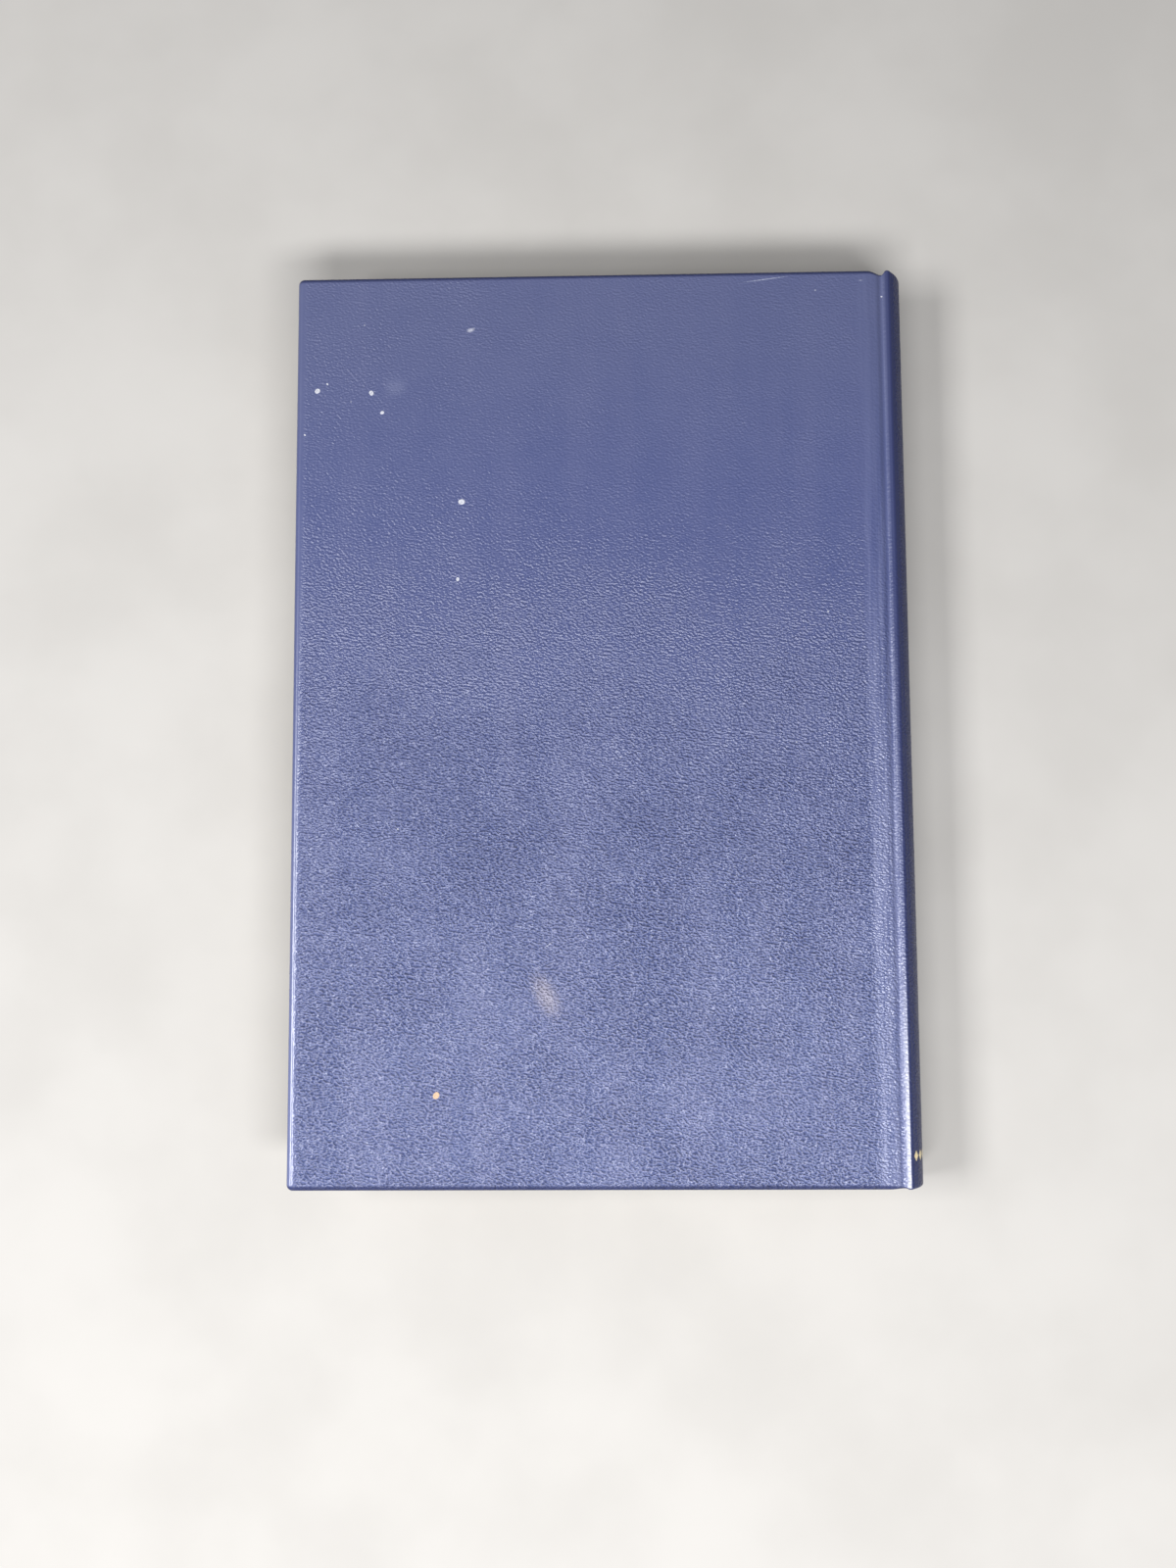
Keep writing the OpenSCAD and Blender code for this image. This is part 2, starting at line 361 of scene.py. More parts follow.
# %% The inner side of the fold
spine_fold = 2 * cloth_t + card_t
on_spine = len(spine_part)
on_flank = on_spine + len(ridge_part) - 1 + len(flank_part) - 1
on_slope = on_flank + len(slope_part) - 1
change_over = 12


def inner_line():
    """Partner of each point of case_line on the turned-in side."""
    share = smooth((np.arange(on_flank) - on_spine + change_over / 2) / change_over)
    depth = spine_fold + (joint_stack - spine_fold) * share
    inner = case_line.copy()
    inner[:on_flank] -= case_out[:on_flank] * depth[:, None]
    inner[on_spine:on_flank, 0] = np.minimum.accumulate(inner[on_spine:on_flank, 0])
    rising = np.linspace(0, 1, on_slope - on_flank + 1)[1:]
    inner[on_flank:on_slope, 1] = groove_z - joint_stack + (turn_z - groove_z + joint_stack) * rising
    inner[on_slope:, 1] = turn_z
    return inner


case_inner = inner_line()
case_fold = np.linalg.norm(case_line - case_inner, axis=1)
case_down = (case_inner - case_line) / case_fold[:, None]
print("fold thickness: spine", round(case_fold[0], 2), "joint", round(case_fold[on_flank], 2),
      "board", round(case_fold[-1], 2))

# %% [markdown]
# ## The rounding of the fold
#
# Cloth pulled over a board rounds its edge, more on the outside than inside. Each folded edge follows one
# profile: a quarter round, a quarter round of its own below, and then the flat turn-in. Where the fold is
# thin, both roundings shrink to a share of its thickness.

# %% The rounding of the fold
edge_r = 1.3
inner_r = 0.7
rounded_share = 0.48


def fold_profile(thickness, length, steps=6):
    """Way round a folded edge as pairs of inset from the edge and depth below the face."""
    top_r = min(edge_r, rounded_share * thickness)
    low_r = min(inner_r, rounded_share * thickness)
    quarter = np.linspace(0, math.pi / 2, steps + 1)
    pairs = [(corner_r, 0)]
    pairs += [(top_r * (1 - math.sin(a)), top_r * (1 - math.cos(a))) for a in quarter]
    pairs += [(low_r * (1 - math.cos(a)), thickness - low_r * (1 - math.sin(a))) for a in quarter]
    pairs += [(inset, thickness) for inset in np.linspace(low_r, length, 5)[1:]]
    return np.array(pairs)


print("points round the board's edge:", len(fold_profile(case_fold[-1], turn_in)))

# %% [markdown]
# ## Stations round the rim
#
# The covering is a face with a rim round its three open edges. The rim is a row of stations, and at each
# one the fold's profile is set square to the edge. At the corners the stations turn like the ribs of a
# fan, and beside them the turn-ins are cut on the mitre, as a binder cuts them with a knife. Pressing the
# groove has pulled the folded edge in, more at the head than at the tail.

# %% Stations round the rim
mitre_w = 0.2
square_turn = 2.8
pull_in = {1: 1.0, -1: 0.25}
pull_on_board = 3.4
pull_on_ridge = 1.3


def groove_pull(index, side):
    """How far the groove pulls the folded edge in at the head (side 1) and the tail (side -1)."""
    away = case_line[index, 0] - pressed_x
    return pull_in[side] * smooth(1 - abs(away) / (pull_on_board if away < 0 else pull_on_ridge))


def turned_length(to_corner):
    """Length of a turn-in at some distance from the sharp corner of the board."""
    return min(turn_in, to_corner - mitre_w / 2 * min(1, (to_corner - corner_r) / 2))


def stations(row_y):
    """The rim's stations from the tail of the spine, each with its place, directions and profile."""
    found = []
    centre_x = fore_x + corner_r
    centre_y = half_case - corner_r
    below = np.array([0, 0, -1])

    def ends(side, order):
        for i in order:
            x, z = case_line[i]
            edge = np.array([x, side * (half_case - groove_pull(i, side)), z])
            down = np.array([case_down[i, 0], 0, case_down[i, 1]])
            if i > on_slope - 2:
                length = turned_length(x - fore_x)
            else:
                length = turn_in if i < on_spine - 3 else square_turn
            found.append((edge, np.array([0, side, 0]), down, fold_profile(case_fold[i], length)))

    def turn(start, end):
        for angle in np.linspace(start, end, 9)[1:-1]:
            out = np.array([math.cos(angle), math.sin(angle), 0])
            centre = np.array([centre_x, math.copysign(centre_y, out[1]), case_t])
            found.append((centre + corner_r * out, out, below, fold_profile(case_fold[-1], corner_r)))

    ends(-1, range(len(case_line)))
    turn(1.5 * math.pi, math.pi)
    for y in row_y:
        edge = np.array([fore_x, y, case_t])
        length = turned_length(half_case - abs(y))
        found.append((edge, np.array([-1, 0, 0]), below, fold_profile(case_fold[-1], length)))
    turn(math.pi, math.pi / 2)
    ends(1, range(len(case_line) - 1, -1, -1))
    return found


print("a turn-in is", turned_length(half_case), "mm long, and at the corner of the board",
      round(turned_length(corner_r), 2))

# %% [markdown]
# ## The covering as one sheet
#
# The face is swept from the line across the case, and its rows lie closer together where the turn-ins are
# cut. The rim is joined on. Near the groove the rows of the face follow the pull of the rim, and the pull
# dies away toward the middle of the book.

# %% The covering as one sheet
pull_fade = 6.0
rows_at_corner = 8
rows_between = 97


def covering_sheet():
    """Points and faces of the outer side of one covering, from the middle of the spine to its turn-ins."""
    inner_y = half_case - corner_r
    near = np.linspace(0, turn_in, rows_at_corner)
    far = np.linspace(-inner_y + turn_in, inner_y - turn_in, rows_between)[1:-1]
    row_y = np.concatenate([-inner_y + near, far, inner_y - near[::-1]])
    face = []
    for i, (x, z) in enumerate(case_line):
        for y in row_y:
            pull = math.copysign(groove_pull(i, math.copysign(1, y)), -y)
            face.append([x, y + pull * smooth((abs(y) - inner_y + pull_fade) / pull_fade), z])
    faces = reverse(grid_faces(len(case_line), len(row_y)))
    rim = stations(row_y)
    rim_points = np.concatenate([
        edge - np.outer(profile[:, 0], out) + np.outer(profile[:, 1], down)
        for edge, out, down, profile in rim
    ])
    faces += grid_faces(len(rim), len(rim[0][3]), len(face))
    return np.concatenate([face, rim_points]), faces


sheet_points, sheet_faces = covering_sheet()
print("one covering has", len(sheet_points), "points before welding")

# %% [markdown]
# ## Unevenness in the boards
#
# A pressed board is never quite flat. The covering sinks by a few hundredths of a millimetre, too little
# to see as a shape, but enough to make the light wander over the cover. It only ever goes inward, and it
# fades out before the edges and the joint, so that the sheets still meet what they are glued to.

# %% Unevenness in the boards
swell = 0.06
back_seed = 11
front_seed = 23
long_wave = 46
short_wave = 15
flat_rim = 1.4
rim_fade = 3
joint_rim = 1
joint_fade = 8
long_share, short_share = 0.7, 0.3
mean_sunk, sunk_swing = 0.7, 0.3
face_reach = 0.02


def sunk(x, y, seed):
    """How deep the face of a covering lies below the top of the case."""
    field = long_share * waves(seed, long_wave)(x, y) + short_share * waves(seed + 1, short_wave)(x, y)
    inside = smooth((x - fore_x - flat_rim) / rim_fade) * smooth((board_end - x - joint_rim) / joint_fade)
    inside *= smooth((half_case - np.abs(y) - flat_rim) / rim_fade)
    return swell * inside * (mean_sunk + sunk_swing * np.clip(field, -1, 1))


def uneven(points, seed):
    """Sinks the face of a covering by small smooth amounts."""
    x, y, z = points.T
    moved = points.copy()
    moved[:, 2] -= sunk(x, y, seed) * smooth((z - case_t + face_reach) / face_reach)
    return moved


middle_sunk = sunk(np.array(0.0), np.array(0.0), back_seed)
print("the middle of the back cover lies", round(float(middle_sunk), 3), "mm below its edges")

# %% [markdown]
# ## Helpers for finishes
#
# A finish is a Principled shader with procedural textures on its sockets. The class below only shortens
# the writing: each method adds one node and returns the socket that the next one needs. Textures are laid
# out in millimetres, so that a scale of 1.1 means a grain of about 0.9 mm.

# %% Helpers for finishes
class Finish:
    """A material, with short ways to add the nodes of its colour, gloss and relief."""

    def __init__(self, name, rest_stored=True, **surface):
        self.material = bpy.data.materials.new(name)
        self.material.use_nodes = True
        self.tree = self.material.node_tree
        self.surface = self.tree.nodes["Principled BSDF"]
        for socket, value in surface.items():
            self.surface.inputs[socket].default_value = value
        if rest_stored:
            place = self.node("Attribute", {}, attribute_name="rest")
            self.place = place.outputs["Vector"]
        else:
            place = self.node("TexCoord", {})
            self.place = self.vector("SCALE", place.outputs["Object"], scale=1 / MM)

    def node(self, kind, inputs, **settings):
        made = self.tree.nodes.new("ShaderNode" + kind)
        for name, value in settings.items():
            setattr(made, name, value)
        for name, value in inputs.items():
            if isinstance(value, bpy.types.NodeSocket):
                self.tree.links.new(value, made.inputs[name])
            else:
                made.inputs[name].default_value = value
        return made

    def join(self, socket, value):
        self.tree.links.new(value, self.surface.inputs[socket])

    def vector(self, operation, first, second=(0, 0, 0), scale=1.0):
        inputs = {0: first, 3: scale} if operation == "SCALE" else {0: first, 1: second}
        made = self.node("VectorMath", inputs, operation=operation)
        return made.outputs["Value" if operation == "LENGTH" else "Vector"]

    def math(self, operation, first, second=0.0):
        return self.node("Math", {0: first, 1: second}, operation=operation).outputs[0]

    def noise(self, scale, detail=2.0, rough=0.5, place=None):
        inputs = {"Vector": place or self.place, "Scale": scale, "Detail": detail, "Roughness": rough}
        return self.node("TexNoise", inputs).outputs["Fac"]

    def stretched_noise(self, stretch, scale, detail, rough):
        """Noise whose spots are longer along an axis where the stretch is less than 1."""
        return self.noise(scale, detail, rough, self.vector("MULTIPLY", self.place, stretch))

    def ramp(self, value, low, high, to_low=0.0, to_high=1.0):
        """Soft change from to_low to to_high while the value goes from low to high."""
        inputs = {"Value": value, "From Min": low, "From Max": high, "To Min": to_low, "To Max": to_high}
        return self.node("MapRange", inputs, interpolation_type="SMOOTHSTEP").outputs[0]

    def blend(self, share, first, second):
        return self.node("Mix", {0: share, 6: first, 7: second}, data_type="RGBA").outputs[2]

    def relief(self, height, depth):
        """Bumps the surface by a height from 0 to 1, depth in millimetres."""
        made = self.node("Bump", {"Height": height, "Distance": depth * MM, "Strength": 1.0})
        self.join("Normal", made.outputs["Normal"])

# %% [markdown]
# ## Camera
#
# The picture was taken from above, a little towards the tail, with a lens that has the angle of a
# phone's. Place, tilt and focal length were found by fitting the corners of the case, the ridge and the
# spine's outline. The lens follows from the focal length in pixels and the sensor's long side. With the
# camera known, a mark seen at some pixel can be put where it lies on the cover: its ray is followed down
# to the face.

# %% Camera
photo_size = (1200, 1600)
focal_px = 1582
sensor = 36.0
camera_place = (5.4, -54.1, 388.2)
camera_tilt = (5.93, 1.41, -0.48)

camera = bpy.data.objects.new("camera", bpy.data.cameras.new("camera"))
camera.data.sensor_width = sensor
camera.data.lens = sensor * focal_px / max(photo_size)
camera.data.clip_start = 0.01
camera.location = Vector(camera_place) * MM
camera.rotation_mode = "ZYX"
camera.rotation_euler = [math.radians(angle) for angle in camera_tilt]
bpy.context.scene.collection.objects.link(camera)
bpy.context.scene.camera = camera


def on_cover(pixel):
    """Place on the back cover's face, in millimetres, that the photo shows at a pixel."""
    ray = Vector((pixel[0] - photo_size[0] / 2, photo_size[1] / 2 - pixel[1], -focal_px))
    ray.rotate(camera.rotation_euler)
    start = Vector(camera_place)
    return start + ray * ((case_t - start.z) / ray.z)


print("lens", round(camera.data.lens, 2), "mm, middle of the picture at", on_cover((600, 800)))

# %% [markdown]
# ## Colours of the covering
#
# One pigment colours the whole covering. Painted shade makes it darker in the creases and darker and greyer
# toward the head, and a painted highlight makes it paler on the crests. The joint is paler from handling and
# a painted sheen, and the ridge at the tail is almost white, partly from wear and partly as a painted
# highlight. Each tone gets a name here, and the finish blends them.

# %% Colours of the covering
navy = (0.036, 0.044, 0.118, 1)
# Coat on faces turned up; the spine and the edges keep the darker navy as painted shade.
rubbed_and_lit_navy = (0.110, 0.134, 0.282, 1)
pale_navy = (0.165, 0.181, 0.328, 1)
# Painted shade in the creases and a painted highlight on the crests of the grain.
crease_shade_navy = (0.031, 0.048, 0.154, 1)
crest_highlight_navy = (0.390, 0.400, 0.574, 1)
# Painted shade: darker and greyer toward the head.
head_shade_navy = (0.040, 0.052, 0.158, 1)
grey_head_shade_navy = (0.100, 0.112, 0.205, 1)
# Handling streaks in the joint, with a painted sheen.
handled_sheen_navy = (0.215, 0.235, 0.392, 1)
# Ridge at the tail: wear and a painted highlight.
worn_and_highlight_navy = (0.600, 0.610, 0.720, 1)
print("a rubbed place has", round(rubbed_and_lit_navy[2] / navy[2], 1), "times the blue of the pigment")

# %% [markdown]
# ## Marks on the back cover
#
# Use has left a smudge, a scuff, a smear, three scratches and a speck in the groove. They are too thin to
# have a height, so they are colour only. Each is an oval with a broken, soft edge, placed by the pixel
# where the photo shows it.

# %% Marks on the back cover
# Pixel, half length and half width in mm, turn in degrees, colour and strength
smudge = ((557, 1016), 7.0, 3.4, -64, (0.48, 0.42, 0.42, 1), 0.36)
scuff = ((480, 337), 1.3, 0.6, 20, (0.70, 0.71, 0.78, 1), 0.55)
smear = ((404, 395), 3.6, 3.0, 0, (0.42, 0.45, 0.59, 1), 0.08)
long_scratch = ((781, 285), 6.2, 0.16, 7, (0.67, 0.70, 0.84, 1), 0.40)
short_scratch = ((878, 286), 0.7, 0.14, 0, (0.73, 0.74, 0.84, 1), 0.35)
low_scratch = ((560, 964), 1.5, 0.20, 35, (0.70, 0.71, 0.84, 1), 0.45)
groove_speck = ((900, 301), 0.3, 0.24, 0, (0.85, 0.85, 0.92, 1), 0.7)
marks = (smudge, scuff, smear, long_scratch, short_scratch, low_scratch, groove_speck)
mark_depth = 5.0
mark_breaks = 1.2
mark_edge = (0.7, 1.7)


def patch(made, mark):
    """Share from 0 to the mark's strength inside an oval with a broken, soft edge."""
    pixel, half_length, half_width, turn, _, strength = mark
    away = made.vector("SUBTRACT", made.place, tuple(on_cover(pixel)))
    away = made.node("VectorRotate", {"Vector": away, "Angle": -math.radians(turn)}, rotation_type="Z_AXIS")
    shrink = (1 / half_length, 1 / half_width, 1 / mark_depth)
    away = made.vector("MULTIPLY", away.outputs[0], shrink)
    broken = made.math("MULTIPLY", made.noise(1.3, detail=4.0, rough=0.7), mark_breaks)
    distance = made.math("ADD", made.vector("LENGTH", away), broken)
    return made.ramp(distance, *mark_edge, strength, 0.0)


print("the smudge lies at", [round(along, 1) for along in on_cover(smudge[0])], "mm")

# %% [markdown]
# ## Depth of the grain
#
# The grain was pressed equally deep everywhere, but it is no longer so. Hands have worn it down toward
# the head, the fold at the fore-edge has stretched it flat, and the hot iron has polished it in the
# joint. Each of these is a soft ramp across the book, and the ramps are multiplied.

# %% Depth of the grain
# Each ramp: where it starts and ends in mm, and the share of the grain's depth at both places
polish_x = board_end - 1.6
polished_grain = 0.5
joint_polish = (polish_x - 1.5, polish_x + 1.5, 1.0, polished_grain)
worn_head = (-50, 70, 1.15, 0.20)
fore_edge_stretch = (fore_x + 1.3, fore_x + 2.8, 0.03, 1.0)
deepest_line_polish = (pressed_x, pressed_x - 1.2, 0.7, 1.0)
spine_grain = (ridge_x + 0.8, ridge_x + 2.2, 0.0, 0.6)


def grain_depth(made, x, y, unpressed):
    """How deep the grain is at each place of the covering, from 0 to about 1."""
    drift = made.ramp(made.noise(0.05, detail=3.0), 0.3, 0.7, 0.7, 1.0)
    depth = made.math("MULTIPLY", made.math("MULTIPLY", drift, unpressed), made.ramp(y, *worn_head))
    for flattened in (fore_edge_stretch, deepest_line_polish):
        depth = made.math("MULTIPLY", depth, made.ramp(x, *flattened))
    return made.math("MAXIMUM", depth, made.ramp(x, *spine_grain))


print("the joint is polished from x =", round(joint_polish[0], 1), "mm on")

# %% [markdown]
# ## Shape of the grain
#
# The covering is cloth with a plastic coat that imitates leather, and its grain is a maze of winding
# crests, about half a millimetre wide, with creases between. Noise without any detail winds like that,
# and a finer noise breaks it up. In the polished joint the iron has left long faint strokes instead.

# %% Shape of the grain
grain_pitch = 0.50
grain_turn = math.radians(12)
grain_stretch = (0.78, 1.0, 1.0)
fine_pitch = grain_pitch / 1.7
fine_height = 0.35
stroke_stretch = (1.6, 0.05, 1)
stroke_height = 0.03
grain_relief = 0.75


def winding_crests(made):
    """Two noises laid out at a slant: the crests of the grain, and a finer one that breaks them up."""
    settings = {"Vector": made.place, "Rotation": (0, 0, grain_turn), "Scale": grain_stretch}
    slanted = made.node("Mapping", settings).outputs[0]
    pitches = (grain_pitch, fine_pitch)
    return [made.noise(1 / pitch, detail=0.0, rough=0.5, place=slanted) for pitch in pitches]


def emboss(made, crests, fine, depth, unpressed):
    """Presses the grain into the surface, and the strokes of the iron into the joint."""
    height = made.math("ADD", crests, made.math("MULTIPLY", fine, fine_height))
    strokes = made.stretched_noise(stroke_stretch, scale=1.0, detail=3.0, rough=0.6)
    ironed = made.math("MULTIPLY", made.ramp(unpressed, polished_grain, 1.0, stroke_height, 0.0), strokes)
    made.relief(made.math("ADD", made.math("MULTIPLY", height, depth), ironed), grain_relief)


print("grain", grain_pitch, "mm wide, and its finer part", round(fine_pitch, 2))

# %% [markdown]
# ## Wear and painted light on the covering
#
# The colour is built up in layers: the coat with faint streaks, a painted highlight on the crests and painted
# shade in the creases, then painted shade toward the head, handling streaks with a painted sheen along the
# joint, a ridge at the tail that is partly worn and partly a painted highlight, and last the marks. The
# spine, the inside and the ends of the boards keep the plain dark pigment as painted shade.

# %% Wear and painted light on the covering
# Each range: the value or the place in mm where it starts and ends, and the share at both
streak_range = (0.35, 0.7, 0.0, 1.0)
streak_strength = 0.45
# Painted highlight on the crests and painted shade in the creases.
crest_highlight_range = (0.48, 0.70, 0.0, 0.3)
crease_shade_range = (0.28, 0.52, 0.5, 0.0)
mottle_range = (0.4, 0.75, 0.0, 0.3)
# Painted shade: darker and greyer toward the head.
head_shade_range = (-95, 40, 0.0, 0.66)
grey_head_shade_range = (40, 112, 0.0, 0.5)
combed_range = (0.3, 0.7, 0.0, 1.0)
# Handling streaks in the joint, with a painted sheen that grows toward the tail.
handled_sheen_range = (0.5, 0.95, 0.75, 0.0)
handled_sheen_along = (-60, 90, 1.0, 0.1)
# Ridge: wear with a painted highlight at the tail, and painted shade toward the head.
worn_and_highlight_along = (-50, -100, 0.0, 0.8)
ridge_shade_along = (-85, 20, 0.0, 0.75)


def grained_colour(made, crests, depth):
    """Colour of the coat: faint streaks along the book, painted highlight on the crests, painted shade in the
    creases.
    """
    streaks = made.ramp(made.stretched_noise((1, 0.06, 1), scale=0.16, detail=3.0, rough=0.55), *streak_range)
    colour = made.blend(made.math("MULTIPLY", streaks, streak_strength), rubbed_and_lit_navy, pale_navy)
    # Painted highlight on the crests, painted shade in the creases.
    for tone, tone_range in ((crest_highlight_navy, crest_highlight_range), (crease_shade_navy, crease_shade_range)):
        share = made.math("MULTIPLY", made.ramp(crests, *tone_range), depth)
        colour = made.blend(share, colour, tone)
    return made.blend(made.ramp(made.noise(0.6, detail=4.0, rough=0.6), *mottle_range), colour, pale_navy)


def used_colour(made, colour, y, unpressed, on_ridge):
    """The coat's colour after painted shade toward the head, handling streaks with painted sheen, the ridge's
    wear and painted highlight, and marks.
    """
    # Painted shade toward the head.
    colour = made.blend(made.ramp(y, *head_shade_range), colour, head_shade_navy)
    colour = made.blend(made.ramp(y, *grey_head_shade_range), colour, grey_head_shade_navy)
    # Handling streaks with a painted sheen in the joint.
    combed = made.ramp(made.stretched_noise((1.6, 0.04, 1), scale=0.9, detail=3.0, rough=0.6), *combed_range)
    handled_sheen = made.math("MULTIPLY", made.ramp(unpressed, *handled_sheen_range), combed)
    handled_sheen = made.math("MULTIPLY", handled_sheen, made.ramp(y, *handled_sheen_along))
    colour = made.blend(handled_sheen, colour, handled_sheen_navy)
    # Wear and a painted highlight on the ridge at the tail.
    colour = made.blend(made.math("MULTIPLY", on_ridge, made.ramp(y, *worn_and_highlight_along)), colour, worn_and_highlight_navy)
    for mark in marks:
        colour = made.blend(patch(made, mark), colour, mark[4])
    return colour


print("marks to blend in:", len(marks))

# %% [markdown]
# ## The finish of the covering
#
# The parts come together in one material. The share stored on each covering below is 1 on faces turned up,
# where the coat is pale and shines more, and 0 on the spine and the edges, where the dark pigment is painted
# shade. On the ridge toward the head a painted shade darkens it as well. Toward the head the coat is rougher,
# since the wear there has dulled it.

# %% The finish of the covering
shine_rubbed = 0.6
shine_plain = 0.1
gloss_range = (0.3, 0.7, 0.17, 0.25)
dulled_head = (-110, 70, 0.0, 0.2)


def leather():
    made = Finish("leather_grain")
    place = made.node("SeparateXYZ", {0: made.place})
    x, y = place.outputs[0], place.outputs[1]
    unpressed = made.ramp(x, *joint_polish)
    on_ridge = made.ramp(x, pressed_x + 0.2, ridge_x - 0.2)
    depth = grain_depth(made, x, y, unpressed)
    crests, fine = winding_crests(made)
    emboss(made, crests, fine, depth, unpressed)
    colour = used_colour(made, grained_colour(made, crests, depth), y, unpressed, on_ridge)

    # The stored share paints shade: the dark pigment on the spine and on the edges of the boards.
    rubbed_and_lit = made.node("Attribute", {}, attribute_name="rubbed_and_lit").outputs["Fac"]
    # On the ridge toward the head a painted shade darkens the coat and dims its shine.
    ridge_shade = made.math("MULTIPLY", on_ridge, made.ramp(y, *ridge_shade_along))
    rubbed_and_lit = made.math("MULTIPLY", rubbed_and_lit, made.math("SUBTRACT", 1.0, ridge_shade))
    shine = made.math("ADD", made.math("MULTIPLY", rubbed_and_lit, shine_rubbed), shine_plain)
    gloss = made.ramp(made.noise(0.09, detail=4.0, rough=0.6), *gloss_range)
    made.join("Base Color", made.blend(rubbed_and_lit, navy, colour))
    made.join("Specular IOR Level", shine)
    made.join("Roughness", made.math("ADD", gloss, made.ramp(y, *dulled_head)))
    return made.material


leather_finish = leather()
print("nodes in the leather:", len(leather_finish.node_tree.nodes))

# %% [markdown]
# ## Both coverings
#
# Each covering is one sheet from the middle of the spine, over the joint, to its fore-edge. The two coverings
# meet in the middle of the spine, where nothing ever bends.

# %% Both coverings
def bend_at_joint(piece, side):
    """Bakes the placement of a sheet of the back or front cover into its points."""
    if side == "back":
        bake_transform(piece)
    else:
        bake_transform(piece)
    return piece


# Each pair: how far a face has turned that way where the rubbing and the painted shade change, and over what
# span
up_change = (0.2, 0.3)
spine_change = (0.03, 0.18)
end_change = (0.08, 0.26)


def soft_change(turned, change):
    start, span = change
    return smooth((turned - start) / span)


def rubbed_and_lit_share(piece, side):
    """1 on faces turned up, which are rubbed and lit; 0 on the spine, the inside and the ends of the boards,
    as painted shade.
    """
    normals = np.array([normal.vector[:] for normal in piece.data.vertex_normals])
    up = normals[:, 2] * (1 if side == "back" else -1)
    past_ridge = np.array([vertex.co.x / MM > ridge_x - 0.3 for vertex in piece.data.vertices])
    to_spine, to_end = normals[:, 0] * past_ridge, np.abs(normals[:, 1])
    share = soft_change(up, up_change)
    return share * (1 - soft_change(to_spine, spine_change)) * (1 - soft_change(to_end, end_change))


def sheet_piece(name, side, points, faces, thickness, finish, sharp=38):
    """Sheet of the back cover, or the same sheet turned over for the front cover."""
    if side == "front":
        points, faces = flip_over(points), reverse(faces)
    piece = new_piece(f"{name}_{side}", points, faces)
    thicken(piece, thickness)
    return dress(piece, finish, sharp)


def covering(side, seed):
    points = uneven(sheet_points, seed)
    piece = sheet_piece("covering", side, points, sheet_faces, cloth_t, leather_finish, 50)
    # Pale coat on faces turned up, and dark pigment as painted shade on the spine and the edges.
    store(piece, "rubbed_and_lit", rubbed_and_lit_share(piece, side))
    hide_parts(side + "_covering", "spine_covering")
    return bend_at_joint(piece, side)


covering("back", back_seed)
covering("front", front_seed)

# %% [markdown]
# ## The leaves
#
# The edge of a pressed block shows its leaves as fine lines that follow the shape of the book: straight
# in the middle, and fanning out to the ridges where the binder hammered the shoulders. So the block is
# built leaf by leaf. The height of a leaf is a formula, and where it ends on the rounded spine is found
# by halving.

# %% The leaves
leaves = 134
half_block = pages_z - mid_z
pages_x = pages_low[0]
search_w = 3
halvings = 40


def flank_rise(x):
    """Height of the block's shoulder above the flat pages."""
    return (leaf_z - pages_z) * smooth((x - groove_x) / (ridge_x - groove_x))


def leaf_height(x, t):
    """Height of a leaf at x, where t runs from -1 for the first leaf to 1 for the last."""
    return mid_z + t * half_block + np.sign(t) * np.abs(t) ** 3 * flank_rise(x)


def spine_reach(t):
    """Where a leaf ends on the rounded spine, found by halving."""
    low, high = np.full_like(t, groove_x - search_w), np.full_like(t, spine_x + block_r)
    for _ in range(halvings):
        middle = (low + high) / 2
        outside = (middle - spine_x) ** 2 + (leaf_height(middle, t) - mid_z) ** 2 > block_r ** 2
        low, high = np.where(outside, low, middle), np.where(outside, middle, high)
    return low


print("a leaf is", round(2 * half_block / leaves, 3), "mm thick, and the last one ends at x =",
      round(spine_reach(np.ones(1))[0], 2))

# %% [markdown]
# ## Ragged edges
#
# A guillotine never cuts all leaves alike. Each leaf has a crest and a valley on its cut edge, and each
# sits a few hundredths of a millimetre in or out, not far from its neighbour. Every eighth valley is
# deeper, where one folded section ends and the next begins.

# %% Ragged edges
section = 8
leaf_valley = 0.05
leaf_wander = 0.012
leaf_jitter = 0.014
leaf_drift = 0.02
leaf_limits = (-0.09, 0.06)


def ragged_edge(random, stations_along):
    """How far each crest and valley of the leaves stands out, at stations along an edge."""
    wander = np.cumsum(random.normal(0, leaf_wander, leaves))
    wander -= np.linspace(0, wander[-1], leaves)
    own = wander + random.normal(0, leaf_jitter, leaves)
    phase = random.uniform(0, math.tau, leaves)
    turns = np.multiply.outer(np.linspace(0, 1, stations_along), random.uniform(0.4, 1.4, leaves))
    crest = np.clip(own + leaf_drift * np.sin(math.tau * turns + phase), *leaf_limits)
    rows = np.zeros((stations_along, 2 * leaves + 1))
    rows[:, 1::2] = crest
    rows[:, 2:-1:2] = np.minimum(crest[:, :-1], crest[:, 1:]) - leaf_valley
    rows[:, 2 * section:-1:2 * section] -= leaf_valley
    rows[:, 0], rows[:, -1] = crest[:, 0], crest[:, -1]
    return rows


print("sections in the block:", math.ceil(leaves / section))

# %% [markdown]
# ## The block of pages
#
# One ring of points runs round the block, along the tail, the fore-edge, the head and the spine, and at
# each station of the ring stands a row with all leaves. The fore-edge is hollow, because leaves of one
# width lie over a round spine. Rows are set closer where the shoulder rises, and the spine, which is
# glued, is smoother.

# %% The block of pages
page_seed = 5
fore_hollow = 2.0
fore_r = (half_block ** 2 + fore_hollow ** 2) / (2 * fore_hollow)
spine_ragged = 0.3
shoulder_from = 0.97
rows_inside, rows_on_shoulder, rows_along = 36, 15, 49


